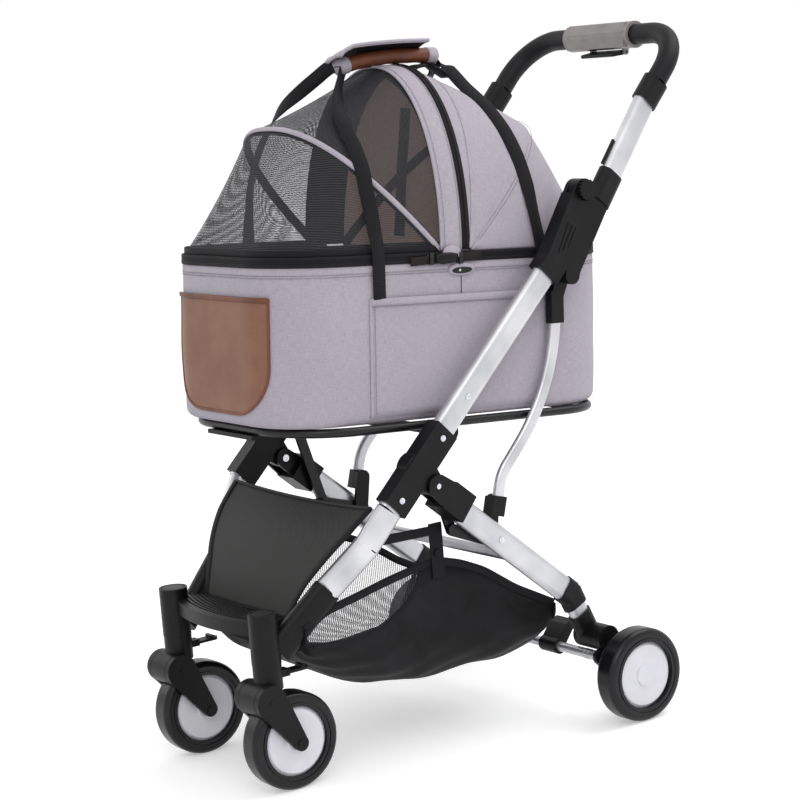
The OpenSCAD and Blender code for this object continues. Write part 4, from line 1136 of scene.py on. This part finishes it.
# heights up the footrest, then half its width there, just inside the front tubes
SLING_HALF = ((0.236, 0.260, 0.275, 0.290, 0.305, 0.320, 0.350, 0.384),
              (0.110, 0.118, 0.124, 0.132, 0.142, 0.151, 0.169, 0.180))


class OBJECT_OT_footrest(bpy.types.Operator):
    """Stretches the woven footrest between the front tubes"""
    bl_idname = "stroller.footrest"
    bl_label = "Footrest"

    def execute(self, context):
        low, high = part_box("footrest_panel")
        t, u = np.linspace(0, 1, 26)[:, None], np.linspace(-1, 1, 31)[None, :]
        bulge = np.sin(np.pi * t) * (1 - 0.3 * u ** 2)
        y = low.y + 0.002 + (high.y - low.y - 0.004) * t - 0.016 * bulge
        z = low.z + 0.002 + (high.z - low.z - 0.004) * t + 0.010 * bulge - 0.006 * t ** 4 * (1 - u ** 2)
        x = np.interp(z[:, :1], *SLING_HALF) * u
        grid = np.stack(np.broadcast_arrays(x, y, z), -1)
        panel = placed(cloth("footrest_sling", grid, ["footrest"], 0.0026), "frame", ["footrest_panel"])
        trim, normal = Trim(), [0, -0.8, 0.6]
        for edge in (grid[:, 0], grid[:, -1]):
            trim.strap((edge, normal), 0.011, 0.0034, "webbing")
        for edge in (grid[0], grid[-1]):
            trim.sweep((edge, normal), circle_section(0.0024), "footrest")
        binding = placed(trim.join("footrest_binding"), "frame")
        declare_sheet(grid)
        return {"FINISHED"}


# ---------- stage ----------
FLOOR_REACH, FLOOR_LIFT = 60, 0.36
LIGHT_AIM = (0, 0, 0.5)
# name, place, size in metres and power in watts
LIGHTS = (("key light", (2.8, -1.9, 2.9), 2.2, 33), ("fill light", (-2.8, -1.4, 2.0), 2.6, 14),
          ("top light", (0.8, 1.7, 2.9), 2.4, 33))
CAMERA_PLACE = (2.7003, -1.9235, 1.0060)
AZIMUTH, PITCH, ROLL = math.radians(55.036), math.radians(8.839), math.radians(-4.673)
SENSOR_WIDTH, LENS = 36, 99.76


def straight_rays(tree):
    """One for rays that the camera sees straight, mirrored or through glass; nought for light on pieces."""
    path = add(tree, "ShaderNodeLightPath").outputs
    seen = math_node(tree, "MAXIMUM", path["Is Camera Ray"], path["Is Glossy Ray"])
    return math_node(tree, "MAXIMUM", seen, path["Is Transmission Ray"])


class OBJECT_OT_stage(bpy.types.Operator):
    """Sets the floor, the soft lights and the camera"""
    bl_idname = "stroller.stage"
    bl_label = "Stage"

    def execute(self, context):
        floor_material, tree, shader = new_material("white studio floor", {
            "Base Color": linear("#F4F4F5"), "Roughness": 0.95, "Emission Color": (1, 1, 1, 1)})
        tree.links.new(scaled(tree, straight_rays(tree), FLOOR_LIFT), shader.inputs["Emission Strength"])
        corners = [(x * FLOOR_REACH, y * FLOOR_REACH, 0) for x, y in ((-1, -1), (1, -1), (1, 1), (-1, 1))]
        mesh_piece("studio_floor", corners, [(0, 1, 2, 3)], [floor_material])
        world = bpy.data.worlds.new("studio")
        context.scene.world = world
        world.use_nodes = True
        tree = world.node_tree
        tree.nodes.clear()
        strength = ranged(tree, straight_rays(tree), To_Min=0.72, To_Max=1.0)
        background = add(tree, "ShaderNodeBackground", {"Color": (1, 1, 1, 1), "Strength": strength})
        add(tree, "ShaderNodeOutputWorld", {"Surface": background.outputs[0]})
        for name, place, size, power in LIGHTS:
            lamp = bpy.data.lights.new(name, "AREA")
            lamp.shape = "DISK"
            lamp.size = size
            lamp.energy = power
            holder = bpy.data.objects.new(name, lamp)
            context.scene.collection.objects.link(holder)
            holder.location = place
            holder.rotation_euler = (Vector(LIGHT_AIM) - Vector(place)).to_track_quat("-Z", "Y").to_euler()
        camera = bpy.data.cameras.new("camera")
        camera.sensor_width = SENSOR_WIDTH
        camera.lens = LENS
        eye = bpy.data.objects.new("camera", camera)
        context.scene.collection.objects.link(eye)
        level = math.cos(PITCH)
        back = Vector((math.sin(AZIMUTH) * level, -math.cos(AZIMUTH) * level, math.sin(PITCH)))
        right = Vector((-back.y, back.x, 0)).normalized()
        up = back.cross(right)
        turned_right = math.cos(ROLL) * right + math.sin(ROLL) * up
        turned_up = -math.sin(ROLL) * right + math.cos(ROLL) * up
        basis = Matrix((turned_right, turned_up, back)).transposed().to_4x4()
        eye.matrix_world = Matrix.Translation(CAMERA_PLACE) @ basis
        context.scene.camera = eye
        context.scene.view_settings.view_transform = "Standard"
        return {"FINISHED"}


OPERATORS = (OBJECT_OT_frame_finishes, OBJECT_OT_carrier, OBJECT_OT_zip_band, OBJECT_OT_pocket_flap,
             OBJECT_OT_net_canopy, OBJECT_OT_bows, OBJECT_OT_rear_hood, OBJECT_OT_carry_straps,
             OBJECT_OT_side_buckles, OBJECT_OT_storage_basket, OBJECT_OT_footrest, OBJECT_OT_stage)


class VIEW3D_PT_stroller(bpy.types.Panel):
    """Sizes, colours and building steps"""
    bl_label = "Pet stroller"
    bl_space_type = "VIEW_3D"
    bl_region_type = "UI"
    bl_category = "Stroller"

    def draw(self, context):
        for settings in (context.scene.stroller_sizes, context.scene.stroller_colours):
            for key in settings.__annotations__:
                self.layout.prop(settings, key)
        for operator in OPERATORS:
            self.layout.operator(operator.bl_idname)


CLASSES = (StrollerSizes, StrollerColours) + OPERATORS + (VIEW3D_PT_stroller,)


def register():
    for cls in CLASSES:
        bpy.utils.register_class(cls)
    bpy.types.Scene.stroller_sizes = bpy.props.PointerProperty(type=StrollerSizes)
    bpy.types.Scene.stroller_colours = bpy.props.PointerProperty(type=StrollerColours)


def unregister():
    del bpy.types.Scene.stroller_colours
    del bpy.types.Scene.stroller_sizes
    for cls in reversed(CLASSES):
        bpy.utils.unregister_class(cls)


def main():
    register()
    for operator in OPERATORS:
        group, name = operator.bl_idname.split(".")
        getattr(getattr(bpy.ops, group), name)()


if __name__ == "__main__":
    main()
